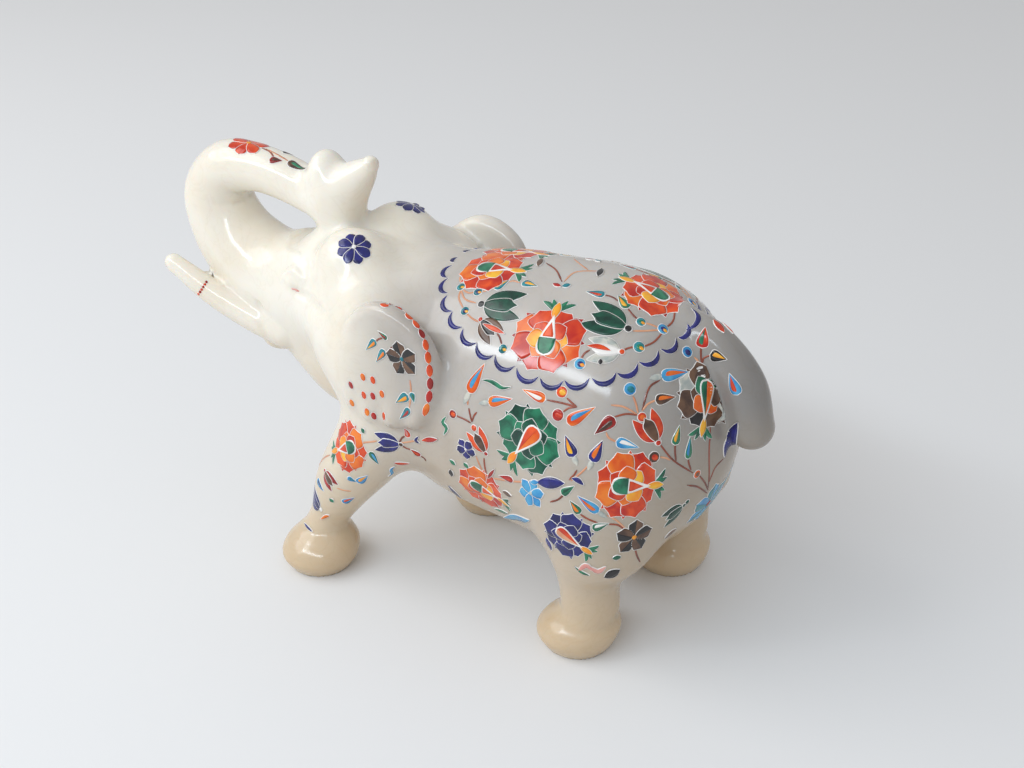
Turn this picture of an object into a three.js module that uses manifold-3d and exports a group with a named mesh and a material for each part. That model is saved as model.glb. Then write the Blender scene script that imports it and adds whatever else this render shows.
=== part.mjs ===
import * as THREE from 'three';
import Module from 'manifold-3d';

// Sizes are in millimetres. The statue faces -X, its left side is -Y, and it stands on Z = 0.
// The shift that puts the middle of the bounding box on X = Y = 0.
const SHIFT = [14.86, 1.27, 0];

// Mesh fineness
const CELL = 2.2;
const TRIANGLES = 9700;
const NEAR_FLOOR = 0.7;
const BOUNDS = [[-120, -52, -4.6], [92, 52, 132]];

// Rounded masses: centre, radii and, where one leans, its pitch about Y in degrees
const BARREL = { centre: [18, 0, 63.5], radii: [53, 38.5, 41.3] };
const RUMP = { centre: [42, 0, 62], radii: [31, 36, 41] };
const SHOULDERS = { centre: [-8, 0, 64], radii: [32, 30.5, 33] };
const NECK = { centre: [-32, 0, 76], radii: [24, 23, 24] };
const SKULL = { centre: [-54, 0, 80], radii: [26, 20, 22], pitch: -20 };
const CHEEKS = { centre: [-64, 0, 63], radii: [20, 15, 13], pitch: 35 };
const THROAT = { centre: [-50, 0, 56.5], radii: [17, 16, 16] };
const LOWER_LIP = { centre: [-82.5, 0, 58.8], radii: [6.5, 9.5, 4.6], pitch: 25 };
const JOWL = { centre: [-37, -20, 74], radii: [14, 11.3, 13], pitch: 15 };
const DOME = { centre: [-43.5, -12, 94], radii: [13, 11.5, 13] };
const TIP_FRONT = { centre: [-61, 0, 117], radii: [5.5, 7, 8], pitch: -10 };

// Bent limbs: x, y, z and radius at each knot
const TRUNK = [
  [-66, 0, 79, 17], [-84, 0, 79, 15.5], [-96.6, 0, 85.8, 13.5], [-103.6, 0, 95, 11.9],
  [-105.3, 0, 104.2, 10.8], [-99.8, 0, 112.3, 9], [-89, 0, 114.3, 7.6], [-79, 0, 113.4, 7.2],
  [-68, 0, 110.8, 7.1], [-59, 0, 109.6, 8.7],
];
const TIP_BACK = [[-58, 0, 111, 7], [-52.5, 0, 116, 6.6], [-48.2, 0, 120, 4.8], [-45, 0, 123.4, 2.7]];
const TUSK = [[-72, -12.5, 66.5, 5.4], [-84, -14, 69.5, 4.7], [-98, -16, 75.5, 4.1], [-111, -18.5, 84, 2.9]];
const TAIL = [[58, 0, 97, 5], [68, 0, 92, 6], [77, 0, 82, 6.5], [80.5, 0, 70, 6.5]];

// Legs: a foot's height and radius rows, then x, y and radius at each leg's joints.
// A hind leg stays a straight column up to its shin.
const FOOT = [[-4, 6.5], [1.2, 10.6], [4.5, 12.2], [8, 11.6], [11, 9.4]];
const ANKLE_Z = 14;
const SHIN_Z = 24;
const KNEE_Z = 34;
const HIP_Z = 56;
const LEGS = [
  { foot: [-47.5, -33.8], ankle: [-46.3, -31, 7.2], knee: [-36, -27, 12.4], hip: [-22, -21, 18] },
  { foot: [-18, 22.5], ankle: [-16.5, 23, 7.2], knee: [-15, 24, 12], hip: [-12, 20, 18] },
  {
    foot: [42.5, -28.3], ankle: [46, -27.7, 8.7], shin: [45.6, -27.5, 9.6],
    knee: [47, -25, 15.6], hip: [42, -19, 24],
  },
  {
    foot: [49.3, 22.2], ankle: [51.8, 23, 8.8], shin: [51.3, 23, 9.8],
    knee: [50.5, 23, 15.8], hip: [42, 19, 24],
  },
];

// Ears: where each one is, seen from its own side, and the shared outline
const LEFT_EAR = { centre: [-15.6, -35.5, 80.4], yaw: -8 };
const RIGHT_EAR = { centre: [-26.2, -35.5, 78.4], yaw: -8 };
const EAR_OUTLINE = [
  [-14, 11], [-5.5, 18.3], [3.8, 18.3], [12.4, 12.6], [16.6, 2], [16, -8.5],
  [11.6, -16.4], [2, -18.8], [-8, -18.6], [-15.4, -15], [-16.6, -3],
];
const EAR_HALF_THICKNESS = 3.2;
// The mass that ties an ear to the neck, from the ear's own centre
const EAR_ROOT = { offset: [-10, 9.5, 0], radii: [12, 11.5, 14] };
const EAR_REACH = 24;
const FLUTE = 8.5;

const DEGREE = Math.PI / 180;

/** The smaller of two distances, with a fillet about k wide where they meet. */
function smoothMin(a, b, k) {
  const h = Math.min(1, Math.max(0, 0.5 + (0.5 * (b - a)) / k));
  return b + (a - b) * h - k * h * (1 - h);
}

/** Distance to an ellipsoid that may lean about Y. */
function ellipsoid({ centre, radii, pitch = 0 }) {
  const c = Math.cos(pitch * DEGREE);
  const s = Math.sin(pitch * DEGREE);
  const [a, b, d] = radii;
  return (x, y, z) => {
    const dx = x - centre[0];
    const dz = z - centre[2];
    const u = c * dx - s * dz;
    const v = y - centre[1];
    const w = s * dx + c * dz;
    const k0 = Math.hypot(u / a, v / b, w / d);
    const k1 = Math.hypot(u / (a * a), v / (b * b), w / (d * d));
    return (k0 * (k0 - 1)) / Math.max(k1, 1e-9);
  };
}

/** A spline through knots of any number of coordinates, with its direction. */
function spline(knots) {
  const between = (a, b) => a.map((value, i) => 2 * value - b[i]);
  const last = knots.length - 1;
  const k = [between(knots[0], knots[1]), ...knots, between(knots[last], knots[last - 1])];
  const span = (where) => Math.min(last - 1, Math.max(0, Math.floor(where)));
  const terms = (where, i) => {
    const at = span(where);
    const [a, b, c, d] = [k[at][i], k[at + 1][i], k[at + 2][i], k[at + 3][i]];
    return [2 * b, c - a, 2 * a - 5 * b + 4 * c - d, 3 * b - a - 3 * c + d];
  };
  return {
    spans: last,
    point: (where, i) => {
      const t = where - span(where);
      const [p, q, r, s] = terms(where, i);
      return 0.5 * (p + t * (q + t * (r + t * s)));
    },
    slope: (where, i) => {
      const t = where - span(where);
      const [, q, r, s] = terms(where, i);
      return 0.5 * (q + t * (2 * r + t * 3 * s));
    },
  };
}

/** Distance to a round limb whose centre and radius follow a spline. */
function tube(knots) {
  const steps = 4;
  const curve = spline(knots);
  const count = curve.spans * steps;
  const posts = Array.from({ length: count + 1 }, (_, n) => [0, 1, 2].map((i) => curve.point(n / steps, i)));
  return (x, y, z) => {
    let best = Infinity;
    let where = 0;
    for (let n = 0; n < count; n += 1) {
      const [ax, ay, az] = posts[n];
      const ex = posts[n + 1][0] - ax;
      const ey = posts[n + 1][1] - ay;
      const ez = posts[n + 1][2] - az;
      const share = ((x - ax) * ex + (y - ay) * ey + (z - az) * ez) / (ex * ex + ey * ey + ez * ez);
      const t = Math.min(1, Math.max(0, share));
      const gap = Math.hypot(x - ax - t * ex, y - ay - t * ey, z - az - t * ez);
      if (gap < best) {
        best = gap;
        where = (n + t) / steps;
      }
    }
    const from = [x, y, z];
    for (let turn = 0; turn < 2; turn += 1) {
      let along = 0;
      let length = 0;
      for (let i = 0; i < 3; i += 1) {
        const slope = curve.slope(where, i);
        along += (from[i] - curve.point(where, i)) * slope;
        length += slope * slope;
      }
      where = Math.min(curve.spans, Math.max(0, where + along / length));
    }
    const off = from.map((value, i) => value - curve.point(where, i));
    return Math.hypot(...off) - curve.point(where, 3);
  };
}

/** A smooth curve through rows of [position, value]. */
function profile(rows) {
  const last = rows.length - 1;
  const slopes = rows.map((_, i) => {
    const a = rows[Math.max(0, i - 1)];
    const b = rows[Math.min(last, i + 1)];
    return (b[1] - a[1]) / (b[0] - a[0]);
  });
  return (position) => {
    const x = Math.min(rows[last][0], Math.max(rows[0][0], position));
    let i = 0;
    while (i < last - 1 && x > rows[i + 1][0]) i += 1;
    const h = rows[i + 1][0] - rows[i][0];
    const t = (x - rows[i][0]) / h;
    const rest = 1 - t;
    const ends = rows[i][1] * (1 + 2 * t) * rest * rest + rows[i + 1][1] * t * t * (3 - 2 * t);
    return ends + h * t * rest * (slopes[i] * rest - slopes[i + 1] * t);
  };
}

/** Distance to a leg: a round column whose middle and radius change with height. */
function leg({ foot, ankle, shin, knee, hip }) {
  const steepness = 0.85;
  const mix = (a, b, share) => a + (b - a) * share;
  const rows = FOOT.map(([z, radius]) => {
    const share = Math.min(1, Math.max(0, (z - FOOT[2][0]) / (ANKLE_Z - FOOT[2][0])));
    return [z, mix(foot[0], ankle[0], share), mix(foot[1], ankle[1], share), radius];
  });
  const up = 6 / (KNEE_Z - ANKLE_Z);
  rows.push([ANKLE_Z, ...ankle]);
  if (shin) rows.push([SHIN_Z, ...shin]);
  else rows.push([ANKLE_Z + 6, mix(ankle[0], knee[0], up), mix(ankle[1], knee[1], up), ankle[2] * 1.06]);
  rows.push([KNEE_Z, ...knee]);
  rows.push([HIP_Z, ...hip]);
  rows.push([HIP_Z + 16, hip[0] + 1, hip[1] * 0.85, hip[2] * 0.75]);
  rows.push([HIP_Z + 26, hip[0] + 2, hip[1] * 0.7, hip[2] * 0.2]);
  const [midX, midY, radius] = [1, 2, 3].map((i) => profile(rows.map((row) => [row[0], row[i]])));
  const low = rows[0][0];
  const high = rows[rows.length - 1][0];
  return (x, y, z) => {
    const round = (Math.hypot(x - midX(z), y - midY(z)) - radius(z)) * steepness;
    return Math.max(round, z - high, low - z);
  };
}

/** Signed distance in the plane to a closed smooth outline. */
function outline(points) {
  const steps = 6;
  const count = points.length;
  const wrapped = [points[count - 1], ...points, points[0], points[1]];
  const curve = spline(wrapped);
  const ring = Array.from({ length: count * steps }, (_, n) =>
    [0, 1].map((i) => curve.point(1 + n / steps, i)));
  return (u, v) => {
    let best = Infinity;
    let inside = false;
    ring.forEach(([au, av], n) => {
      const [bu, bv] = ring[(n + 1) % ring.length];
      const eu = bu - au;
      const ev = bv - av;
      const share = ((u - au) * eu + (v - av) * ev) / (eu * eu + ev * ev);
      const t = Math.min(1, Math.max(0, share));
      best = Math.min(best, Math.hypot(u - au - t * eu, v - av - t * ev));
      if (av <= v !== bv <= v && u < au + ((v - av) * eu) / ev) inside = !inside;
    });
    return inside ? -best : best;
  };
}

const earOutline = outline(EAR_OUTLINE);

/** Distance to an ear: a bowled slab with rounded edges, fluted along its lower edge. */
function ear({ centre, yaw }) {
  const c = Math.cos(yaw * DEGREE);
  const s = Math.sin(yaw * DEGREE);
  return (x, y, z) => {
    const dx = x - centre[0];
    const dy = y - centre[1];
    const u = c * dx + s * dy;
    const w = s * dx - c * dy;
    const v = z - centre[2];
    const far = Math.hypot(u, v, w) - EAR_REACH - 6;
    if (far > 6) return far;
    const bowl = 0.004 * (u + 6) ** 2 - 0.0036 * v * v;
    const deep = Math.min(1, Math.max(0, (-v - 8) / 10));
    const flutes = 0.9 * Math.sin((u * 2 * Math.PI) / FLUTE) * deep;
    const edge = earOutline(u, v) + EAR_HALF_THICKNESS - 0.5;
    const face = Math.abs(w + bowl - flutes) - 0.5;
    const outside = Math.hypot(Math.max(edge, 0), Math.max(face, 0));
    return outside + Math.min(Math.max(edge, face), 0) - EAR_HALF_THICKNESS + 0.5;
  };
}

/** Signed distance to the whole statue, before its feet are cut flat. */
function elephantField() {
  const mass = [BARREL, RUMP, SHOULDERS, NECK].map(ellipsoid);
  const legs = LEGS.map(leg);
  const headMass = [SKULL, CHEEKS, THROAT, LOWER_LIP].map(ellipsoid);
  const dome = ellipsoid(DOME);
  const jowl = ellipsoid(JOWL);
  const trunk = tube(TRUNK);
  const tips = [ellipsoid(TIP_FRONT), tube(TIP_BACK)];
  const tusk = tube(TUSK);
  const tail = tube(TAIL);
  const leftEar = ear(LEFT_EAR);
  const rightEar = ear(RIGHT_EAR);
  const rootOf = ({ centre }) => {
    const middle = centre.map((value, i) => value + EAR_ROOT.offset[i]);
    return ellipsoid({ centre: middle, radii: EAR_ROOT.radii });
  };
  const leftRoot = rootOf(LEFT_EAR);
  const rightRoot = rootOf(RIGHT_EAR);
  return (x, y, z) => {
    const side = -Math.abs(y);
    let body = smoothMin(mass[0](x, y, z), mass[1](x, y, z), 14);
    body = smoothMin(body, mass[2](x, y, z), 14);
    body = smoothMin(body, mass[3](x, y, z), 12);
    legs.forEach((shape) => {
      body = smoothMin(body, shape(x, y, z), 7);
    });
    let head = smoothMin(headMass[0](x, y, z), headMass[1](x, y, z), 8);
    head = smoothMin(head, headMass[2](x, y, z), 8);
    head = smoothMin(head, headMass[3](x, y, z), 5);
    head = smoothMin(head, dome(x, side, z), 5);
    head = smoothMin(head, trunk(x, y, z), 7);
    head = smoothMin(head, smoothMin(tips[0](x, y, z), tips[1](x, y, z), 2.5), 5);
    body = smoothMin(body, head, 8);
    body = smoothMin(body, jowl(x, side, z), 15);
    body = smoothMin(body, tusk(x, side, z), 2);
    body = smoothMin(body, tail(x, y, z), 4);
    const root = y < 0 ? leftRoot(x, side, z) : rightRoot(x, side, z);
    const plate = y < 0 ? leftEar(x, side, z) : rightEar(x, side, z);
    return smoothMin(smoothMin(body, root, 14), plate, 2.5);
  };
}

/** Moves a point onto the surface where the field is zero, along the field's slope. */
function settled(field, point) {
  const h = 0.05;
  let [x, y, z] = point;
  for (let turn = 0; turn < 2; turn += 1) {
    const value = field(x, y, z);
    const gx = (field(x + h, y, z) - field(x - h, y, z)) / (2 * h);
    const gy = (field(x, y + h, z) - field(x, y - h, z)) / (2 * h);
    const gz = (field(x, y, z + h) - field(x, y, z - h)) / (2 * h);
    const step = Math.max(-1, Math.min(1, value)) / Math.max(gx * gx + gy * gy + gz * gz, 0.2);
    x -= step * gx;
    y -= step * gy;
    z -= step * gz;
  }
  return [x, y, z];
}

/** The field at every grid point. A block that is clearly all inside or all outside takes one value. */
function sampled(field, size, at) {
  const block = 4;
  const clear = 1.5 * Math.sqrt(3) * (block / 2) * CELL;
  const values = new Float64Array(size[0] * size[1] * size[2]);
  const fill = ([i0, j0, k0]) => {
    const middle = at(i0 + block / 2, j0 + block / 2, k0 + block / 2);
    const rough = field(...middle);
    for (let k = k0; k < Math.min(k0 + block, size[2]); k += 1) {
      for (let j = j0; j < Math.min(j0 + block, size[1]); j += 1) {
        for (let i = i0; i < Math.min(i0 + block, size[0]); i += 1) {
          const value = Math.abs(rough) > clear ? rough : field(...at(i, j, k));
          const least = 0.12 * CELL;
          const snapped = value < 0 ? Math.min(value, -least) : Math.max(value, least);
          values[(k * size[1] + j) * size[0] + i] = snapped;
        }
      }
    }
  };
  for (let k = 0; k < size[2]; k += block) {
    for (let j = 0; j < size[1]; j += block) {
      for (let i = 0; i < size[0]; i += block) fill([i, j, k]);
    }
  }
  return values;
}

/** A closed mesh of the surface: each grid cube is six tetrahedra, and each one is cut by a plane. */
function skinned(field) {
  const [low, high] = BOUNDS;
  const size = low.map((value, i) => Math.ceil((high[i] - value) / CELL) + 1);
  const at = (i, j, k) => [low[0] + i * CELL, low[1] + j * CELL, low[2] + k * CELL];
  const place = (n) => {
    const row = Math.floor(n / size[0]);
    return at(n % size[0], row % size[1], Math.floor(row / size[1]));
  };
  const values = sampled(field, size, at);
  const tetrahedra = [[0, 1, 3, 7], [0, 3, 2, 7], [0, 2, 6, 7], [0, 6, 4, 7], [0, 4, 5, 7], [0, 5, 1, 7]];
  const points = [];
  const faces = [];
  const known = new Map();
  const crossing = (inner, outer) => {
    const key = inner * values.length + outer;
    if (!known.has(key)) {
      const share = values[inner] / (values[inner] - values[outer]);
      const [a, b] = [place(inner), place(outer)];
      known.set(key, points.length);
      points.push(a.map((value, i) => value + (b[i] - value) * share));
    }
    return known.get(key);
  };
  const add = (names, outward) => {
    const [a, b, c] = names.map((n) => new THREE.Vector3(...points[n]));
    const facing = b.sub(a).cross(c.sub(a)).dot(outward);
    faces.push(facing < 0 ? [names[0], names[2], names[1]] : names);
  };
  const cut = (corners) => {
    const inner = corners.filter((n) => values[n] < 0);
    const outer = corners.filter((n) => values[n] >= 0);
    if (inner.length === 0 || outer.length === 0) return;
    const outward = new THREE.Vector3(...place(outer[0])).sub(new THREE.Vector3(...place(inner[0])));
    const ring = inner.length === 2
      ? [[0, 0], [0, 1], [1, 1], [1, 0]].map(([a, b]) => crossing(inner[a], outer[b]))
      : inner.flatMap((a) => outer.map((b) => crossing(a, b)));
    add(ring.slice(0, 3), outward);
    if (ring.length === 4) add([ring[0], ring[2], ring[3]], outward);
  };
  for (let k = 0; k < size[2] - 1; k += 1) {
    for (let j = 0; j < size[1] - 1; j += 1) {
      for (let i = 0; i < size[0] - 1; i += 1) {
        const cube = Array.from({ length: 8 }, (_, n) =>
          ((k + (n >> 2)) * size[1] + j + ((n >> 1) & 1)) * size[0] + i + (n & 1));
        const full = cube.filter((n) => values[n] < 0).length;
        if (full > 0 && full < 8) tetrahedra.forEach((four) => cut(four.map((n) => cube[n])));
      }
    }
  }
  return { points, faces };
}

const vector = (a, b) => [b[0] - a[0], b[1] - a[1], b[2] - a[2]];
const cross = (a, b) => [a[1] * b[2] - a[2] * b[1], a[2] * b[0] - a[0] * b[2], a[0] * b[1] - a[1] * b[0]];
const dot = (a, b) => a[0] * b[0] + a[1] * b[1] + a[2] * b[2];
/** A triangle's normal, as long as twice its area. */
const areaNormal = ([a, b, c]) => cross(vector(a, b), vector(a, c));

/** Fewer triangles: the edges whose loss moves the surface least are closed up first. */
function thinned({ points, faces }, wanted, field) {
  const around = points.map(() => new Set());
  faces.forEach((face, f) => face.forEach((p) => around[p].add(f)));
  const place = (face) => face.map((p) => points[p]);
  // Each point keeps the planes around it as a sum of area-weighted squares.
  const sums = points.map(() => new Float64Array(10));
  faces.forEach((face) => {
    const normal = areaNormal(place(face));
    const size = Math.sqrt(dot(normal, normal)) || 1;
    const [a, b, c] = normal.map((value) => value / size);
    const d = -dot([a, b, c], points[face[0]]);
    const terms = [a * a, a * b, a * c, a * d, b * b, b * c, b * d, c * c, c * d, d * d];
    face.forEach((p) => terms.forEach((term, i) => {
      sums[p][i] += term * size;
    }));
  });
  const error = (p, q, [x, y, z]) => {
    const s = sums[p].map((value, i) => value + sums[q][i]);
    const squares = s[0] * x * x + s[4] * y * y + s[7] * z * z + s[9];
    return squares + 2 * (s[1] * x * y + s[2] * x * z + s[3] * x + s[5] * y * z + s[6] * y + s[8] * z);
  };
  const halfway = (p, q) => points[p].map((value, i) => (value + points[q][i]) / 2);
  const stamp = new Int32Array(points.length);
  const heap = [];
  const swap = (i, j) => {
    [heap[i], heap[j]] = [heap[j], heap[i]];
  };
  const push = (entry) => {
    heap.push(entry);
    let i = heap.length - 1;
    while (i > 0 && heap[(i - 1) >> 1].cost > heap[i].cost) {
      swap(i, (i - 1) >> 1);
      i = (i - 1) >> 1;
    }
  };
  const pop = () => {
    swap(0, heap.length - 1);
    const top = heap.pop();
    let i = 0;
    for (;;) {
      let least = i;
      [2 * i + 1, 2 * i + 2].forEach((child) => {
        if (child < heap.length && heap[child].cost < heap[least].cost) least = child;
      });
      if (least === i) return top;
      swap(i, least);
      i = least;
    }
  };
  const offer = (p, q) => {
    const edge = vector(points[p], points[q]);
    const cost = error(p, q, halfway(p, q)) + 1e-4 * dot(edge, edge);
    push({ cost, p, q, stamps: stamp[p] + stamp[q] });
  };
  const neighbours = (p) => new Set([...around[p]].flatMap((f) => faces[f]).filter((q) => q !== p));
  points.forEach((_, p) => neighbours(p).forEach((q) => {
    if (p < q) offer(p, q);
  }));
  let left = faces.length;
  while (left > wanted && heap.length > 0) {
    const { p, q, stamps } = pop();
    const nextToQ = neighbours(q);
    const alive = around[p].size > 0 && around[q].size > 0 && stamps === stamp[p] + stamp[q];
    const shared = alive ? [...neighbours(p)].filter((r) => nextToQ.has(r)) : [];
    if (shared.length !== 2) continue;
    const spot = settled(field, halfway(p, q));
    const kept = [...around[p], ...around[q]].filter((f) => !(faces[f].includes(p) && faces[f].includes(q)));
    const folds = kept.some((f) => {
      const before = areaNormal(place(faces[f]));
      const after = areaNormal(faces[f].map((r) => (r === p || r === q ? spot : points[r])));
      const sizes = Math.sqrt(dot(before, before) * dot(after, after));
      return dot(before, after) < 0.5 * sizes || dot(after, after) < 1e-3;
    });
    if (folds) continue;
    points[p] = spot;
    sums[q].forEach((value, i) => {
      sums[p][i] += value;
    });
    [...around[q]].forEach((f) => {
      if (faces[f].includes(p)) {
        faces[f].forEach((r) => around[r].delete(f));
        left -= 1;
      } else {
        faces[f] = faces[f].map((r) => (r === q ? p : r));
        around[p].add(f);
      }
    });
    around[q].clear();
    stamp[p] += points.length;
    neighbours(p).forEach((r) => offer(p, r));
  }
  const renamed = new Map();
  const keptFaces = faces.filter((face, f) => around[face[0]].has(f) && around[face[1]].has(f));
  keptFaces.flat().forEach((p) => {
    if (!renamed.has(p)) renamed.set(p, renamed.size);
  });
  return {
    points: [...renamed.keys()].map((p) => settled(field, points[p])),
    faces: keptFaces.map((face) => face.map((p) => renamed.get(p))),
  };
}

/** Edges swapped for the other diagonal of their two triangles wherever that lies nearer the surface. */
function rebraced({ points, faces }, rounds, field) {
  const count = points.length;
  const middle = (p, q) => points[p].map((value, i) => (value + points[q][i]) / 2);
  const miss = (p, q) => Math.abs(field(...middle(p, q)));
  const owners = new Map();
  const own = (p, q, f) => owners.set(p * count + q, f);
  const owner = (p, q) => owners.get(p * count + q);
  faces.forEach(([a, b, c], f) => {
    own(a, b, f);
    own(b, c, f);
    own(c, a, f);
  });
  const third = (f, p, q) => faces[f].find((r) => r !== p && r !== q);
  for (let round = 0; round < rounds; round += 1) {
    [...owners.keys()].forEach((key) => {
      const p = Math.floor(key / count);
      const q = key % count;
      if (p > q || !owners.has(key)) return;
      const f = owner(p, q);
      const g = owner(q, p);
      const r = third(f, p, q);
      const s = third(g, p, q);
      if (owner(r, s) !== undefined || owner(s, r) !== undefined) return;
      if (miss(r, s) > miss(p, q) - 0.02) return;
      const before = [f, g].map((face) => areaNormal(faces[face].map((n) => points[n])));
      const after = [[p, s, r], [s, q, r]].map((face) => areaNormal(face.map((n) => points[n])));
      const agree = (a, b) => dot(a, b) > 0.3 * Math.sqrt(dot(a, a) * dot(b, b));
      const facing = after.every((a) => before.every((b) => agree(a, b)));
      if (!facing || after.some((a) => dot(a, a) < 0.05)) return;
      faces[f] = [p, s, r];
      faces[g] = [s, q, r];
      owners.delete(p * count + q);
      owners.delete(q * count + p);
      own(p, s, f);
      own(s, r, f);
      own(r, p, f);
      own(s, q, g);
      own(q, r, g);
      own(r, s, g);
    });
  }
  return { points, faces };
}

/** A solid for joining and cutting, from points and triangles. */
function solid(wasm, points, faces) {
  return new wasm.Manifold(new wasm.Mesh({
    numProp: 3,
    vertProperties: new Float32Array(points.flat()),
    triVerts: new Uint32Array(faces.flat()),
  }));
}

/** The slab under Z = 0 that cuts the feet flat. */
function floorSlab(wasm) {
  const depth = 20;
  const box = new THREE.BoxGeometry(400, 400, depth);
  const corners = [];
  const at = box.getAttribute('position');
  const names = Array.from({ length: at.count }, (_, n) => {
    const corner = [at.getX(n), at.getY(n), at.getZ(n) - depth / 2];
    const known = corners.findIndex((other) => other.every((value, i) => value === corner[i]));
    return known < 0 ? corners.push(corner) - 1 : known;
  });
  const order = Array.from(box.getIndex().array, (n) => names[n]);
  const faces = Array.from({ length: order.length / 3 }, (_, n) => order.slice(3 * n, 3 * n + 3));
  return solid(wasm, corners, faces);
}

/** The statue's mesh: skinned, thinned, stood on flat feet and centred. */
function elephantGeometry(wasm) {
  const field = elephantField();
  const mesh = rebraced(thinned(skinned(field), TRIANGLES, field), 4, field);
  mesh.points.forEach((point) => {
    if (Math.abs(point[2]) < NEAR_FLOOR) point[2] = 0;
  });
  const cut = solid(wasm, mesh.points, mesh.faces).subtract(floorSlab(wasm)).getMesh();
  const geometry = new THREE.BufferGeometry();
  geometry.setAttribute('position', new THREE.BufferAttribute(new Float32Array(cut.vertProperties), 3));
  geometry.setIndex(Array.from(cut.triVerts));
  geometry.translate(...SHIFT);
  geometry.computeVertexNormals();
  return geometry;
}

const wasm = await Module();
wasm.setup();

const marble = new THREE.MeshStandardMaterial({ color: 0xe4dccb, roughness: 0.22, metalness: 0 });
const elephant = new THREE.Mesh(elephantGeometry(wasm), marble);
elephant.name = 'marble_elephant';

const group = new THREE.Group();
group.name = 'marble_inlay_elephant';
group.add(elephant);
export default group;
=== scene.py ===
import math

import bpy
import numpy as np
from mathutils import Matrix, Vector


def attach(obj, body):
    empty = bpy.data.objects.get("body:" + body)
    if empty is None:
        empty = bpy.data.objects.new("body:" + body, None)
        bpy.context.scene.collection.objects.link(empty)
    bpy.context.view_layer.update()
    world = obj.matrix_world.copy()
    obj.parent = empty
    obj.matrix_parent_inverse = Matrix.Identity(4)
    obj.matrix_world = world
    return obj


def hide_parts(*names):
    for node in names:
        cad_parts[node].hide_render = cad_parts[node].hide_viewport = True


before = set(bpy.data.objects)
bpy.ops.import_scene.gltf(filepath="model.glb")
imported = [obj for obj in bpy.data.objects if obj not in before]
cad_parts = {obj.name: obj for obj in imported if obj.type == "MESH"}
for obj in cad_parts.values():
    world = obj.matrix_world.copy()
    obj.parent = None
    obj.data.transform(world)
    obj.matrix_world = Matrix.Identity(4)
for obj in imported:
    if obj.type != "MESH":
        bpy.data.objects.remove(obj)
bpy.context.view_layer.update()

# Millimetres throughout, as in the solids; MM turns them into metres at the last step.
# The statue faces -X and its left side is -Y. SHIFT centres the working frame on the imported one.
MM = 0.001
SHIFT = np.array([14.86, 1.27, 0.0])

# Rounded masses of the statue
BARREL = dict(centre=(18, 0, 63.5), radii=(53, 38.5, 41.3))
RUMP = dict(centre=(42, 0, 62), radii=(31, 36, 41))
SHOULDERS = dict(centre=(-8, 0, 64), radii=(32, 30.5, 33))
NECK = dict(centre=(-32, 0, 76), radii=(24, 23, 24))
SKULL = dict(centre=(-54, 0, 80), radii=(26, 20, 22), pitch=-20)
CHEEKS = dict(centre=(-64, 0, 63), radii=(20, 15, 13), pitch=35)
THROAT = dict(centre=(-50, 0, 56.5), radii=(17, 16, 16))
LOWER_LIP = dict(centre=(-82.5, 0, 58.8), radii=(6.5, 9.5, 4.6), pitch=25)
JOWL = dict(centre=(-37, -20, 74), radii=(14, 11.3, 13), pitch=15)
DOME = dict(centre=(-43.5, -12, 94), radii=(13, 11.5, 13))
TIP_FRONT = dict(centre=(-61, 0, 117), radii=(5.5, 7, 8), pitch=-10)

# Bent limbs: x, y, z and radius at each knot
TRUNK = ((-66, 0, 79, 17), (-84, 0, 79, 15.5), (-96.6, 0, 85.8, 13.5), (-103.6, 0, 95, 11.9),
         (-105.3, 0, 104.2, 10.8), (-99.8, 0, 112.3, 9), (-89, 0, 114.3, 7.6), (-79, 0, 113.4, 7.2),
         (-68, 0, 110.8, 7.1), (-59, 0, 109.6, 8.7))
TIP_BACK = ((-58, 0, 111, 7), (-52.5, 0, 116, 6.6), (-48.2, 0, 120, 4.8), (-45, 0, 123.4, 2.7))
TUSK = ((-72, -12.5, 66.5, 5.4), (-84, -14, 69.5, 4.7), (-98, -16, 75.5, 4.1), (-111, -18.5, 84, 2.9))
TAIL = ((58, 0, 97, 5), (68, 0, 92, 6), (77, 0, 82, 6.5), (80.5, 0, 70, 6.5))

# Legs: a foot's height and radius rows, then x, y and radius at each leg's joints
FOOT = ((-4, 6.5), (1.2, 10.6), (4.5, 12.2), (8, 11.6), (11, 9.4))
ANKLE_Z, SHIN_Z, KNEE_Z, HIP_Z = 14, 24, 34, 56
LEGS = dict(
    front_left=dict(foot=(-47.5, -33.8), ankle=(-46.3, -31, 7.2), knee=(-36, -27, 12.4), hip=(-22, -21, 18)),
    front_right=dict(foot=(-18, 22.5), ankle=(-16.5, 23, 7.2), knee=(-15, 24, 12), hip=(-12, 20, 18)),
    hind_left=dict(foot=(42.5, -28.3), ankle=(46, -27.7, 8.7), shin=(45.6, -27.5, 9.6), knee=(47, -25, 15.6),
                   hip=(42, -19, 24)),
    hind_right=dict(foot=(49.3, 22.2), ankle=(51.8, 23, 8.8), shin=(51.3, 23, 9.8), knee=(50.5, 23, 15.8),
                    hip=(42, 19, 24)),
)

# Ears: where each one is, seen from its own side, and the shared outline
LEFT_EAR = dict(centre=(-15.6, -35.5, 80.4), yaw=-8)
RIGHT_EAR = dict(centre=(-26.2, -35.5, 78.4), yaw=-8)
EAR_OUTLINE = ((-14, 11), (-5.5, 18.3), (3.8, 18.3), (12.4, 12.6), (16.6, 2), (16, -8.5),
               (11.6, -16.4), (2, -18.8), (-8, -18.6), (-15.4, -15), (-16.6, -3))
EAR_HALF_THICKNESS = 3.2
EAR_ROOT = dict(offset=(-10, 9.5, 0), radii=(12, 11.5, 14))
EAR_REACH = 24
FLUTE = 8.5

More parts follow.
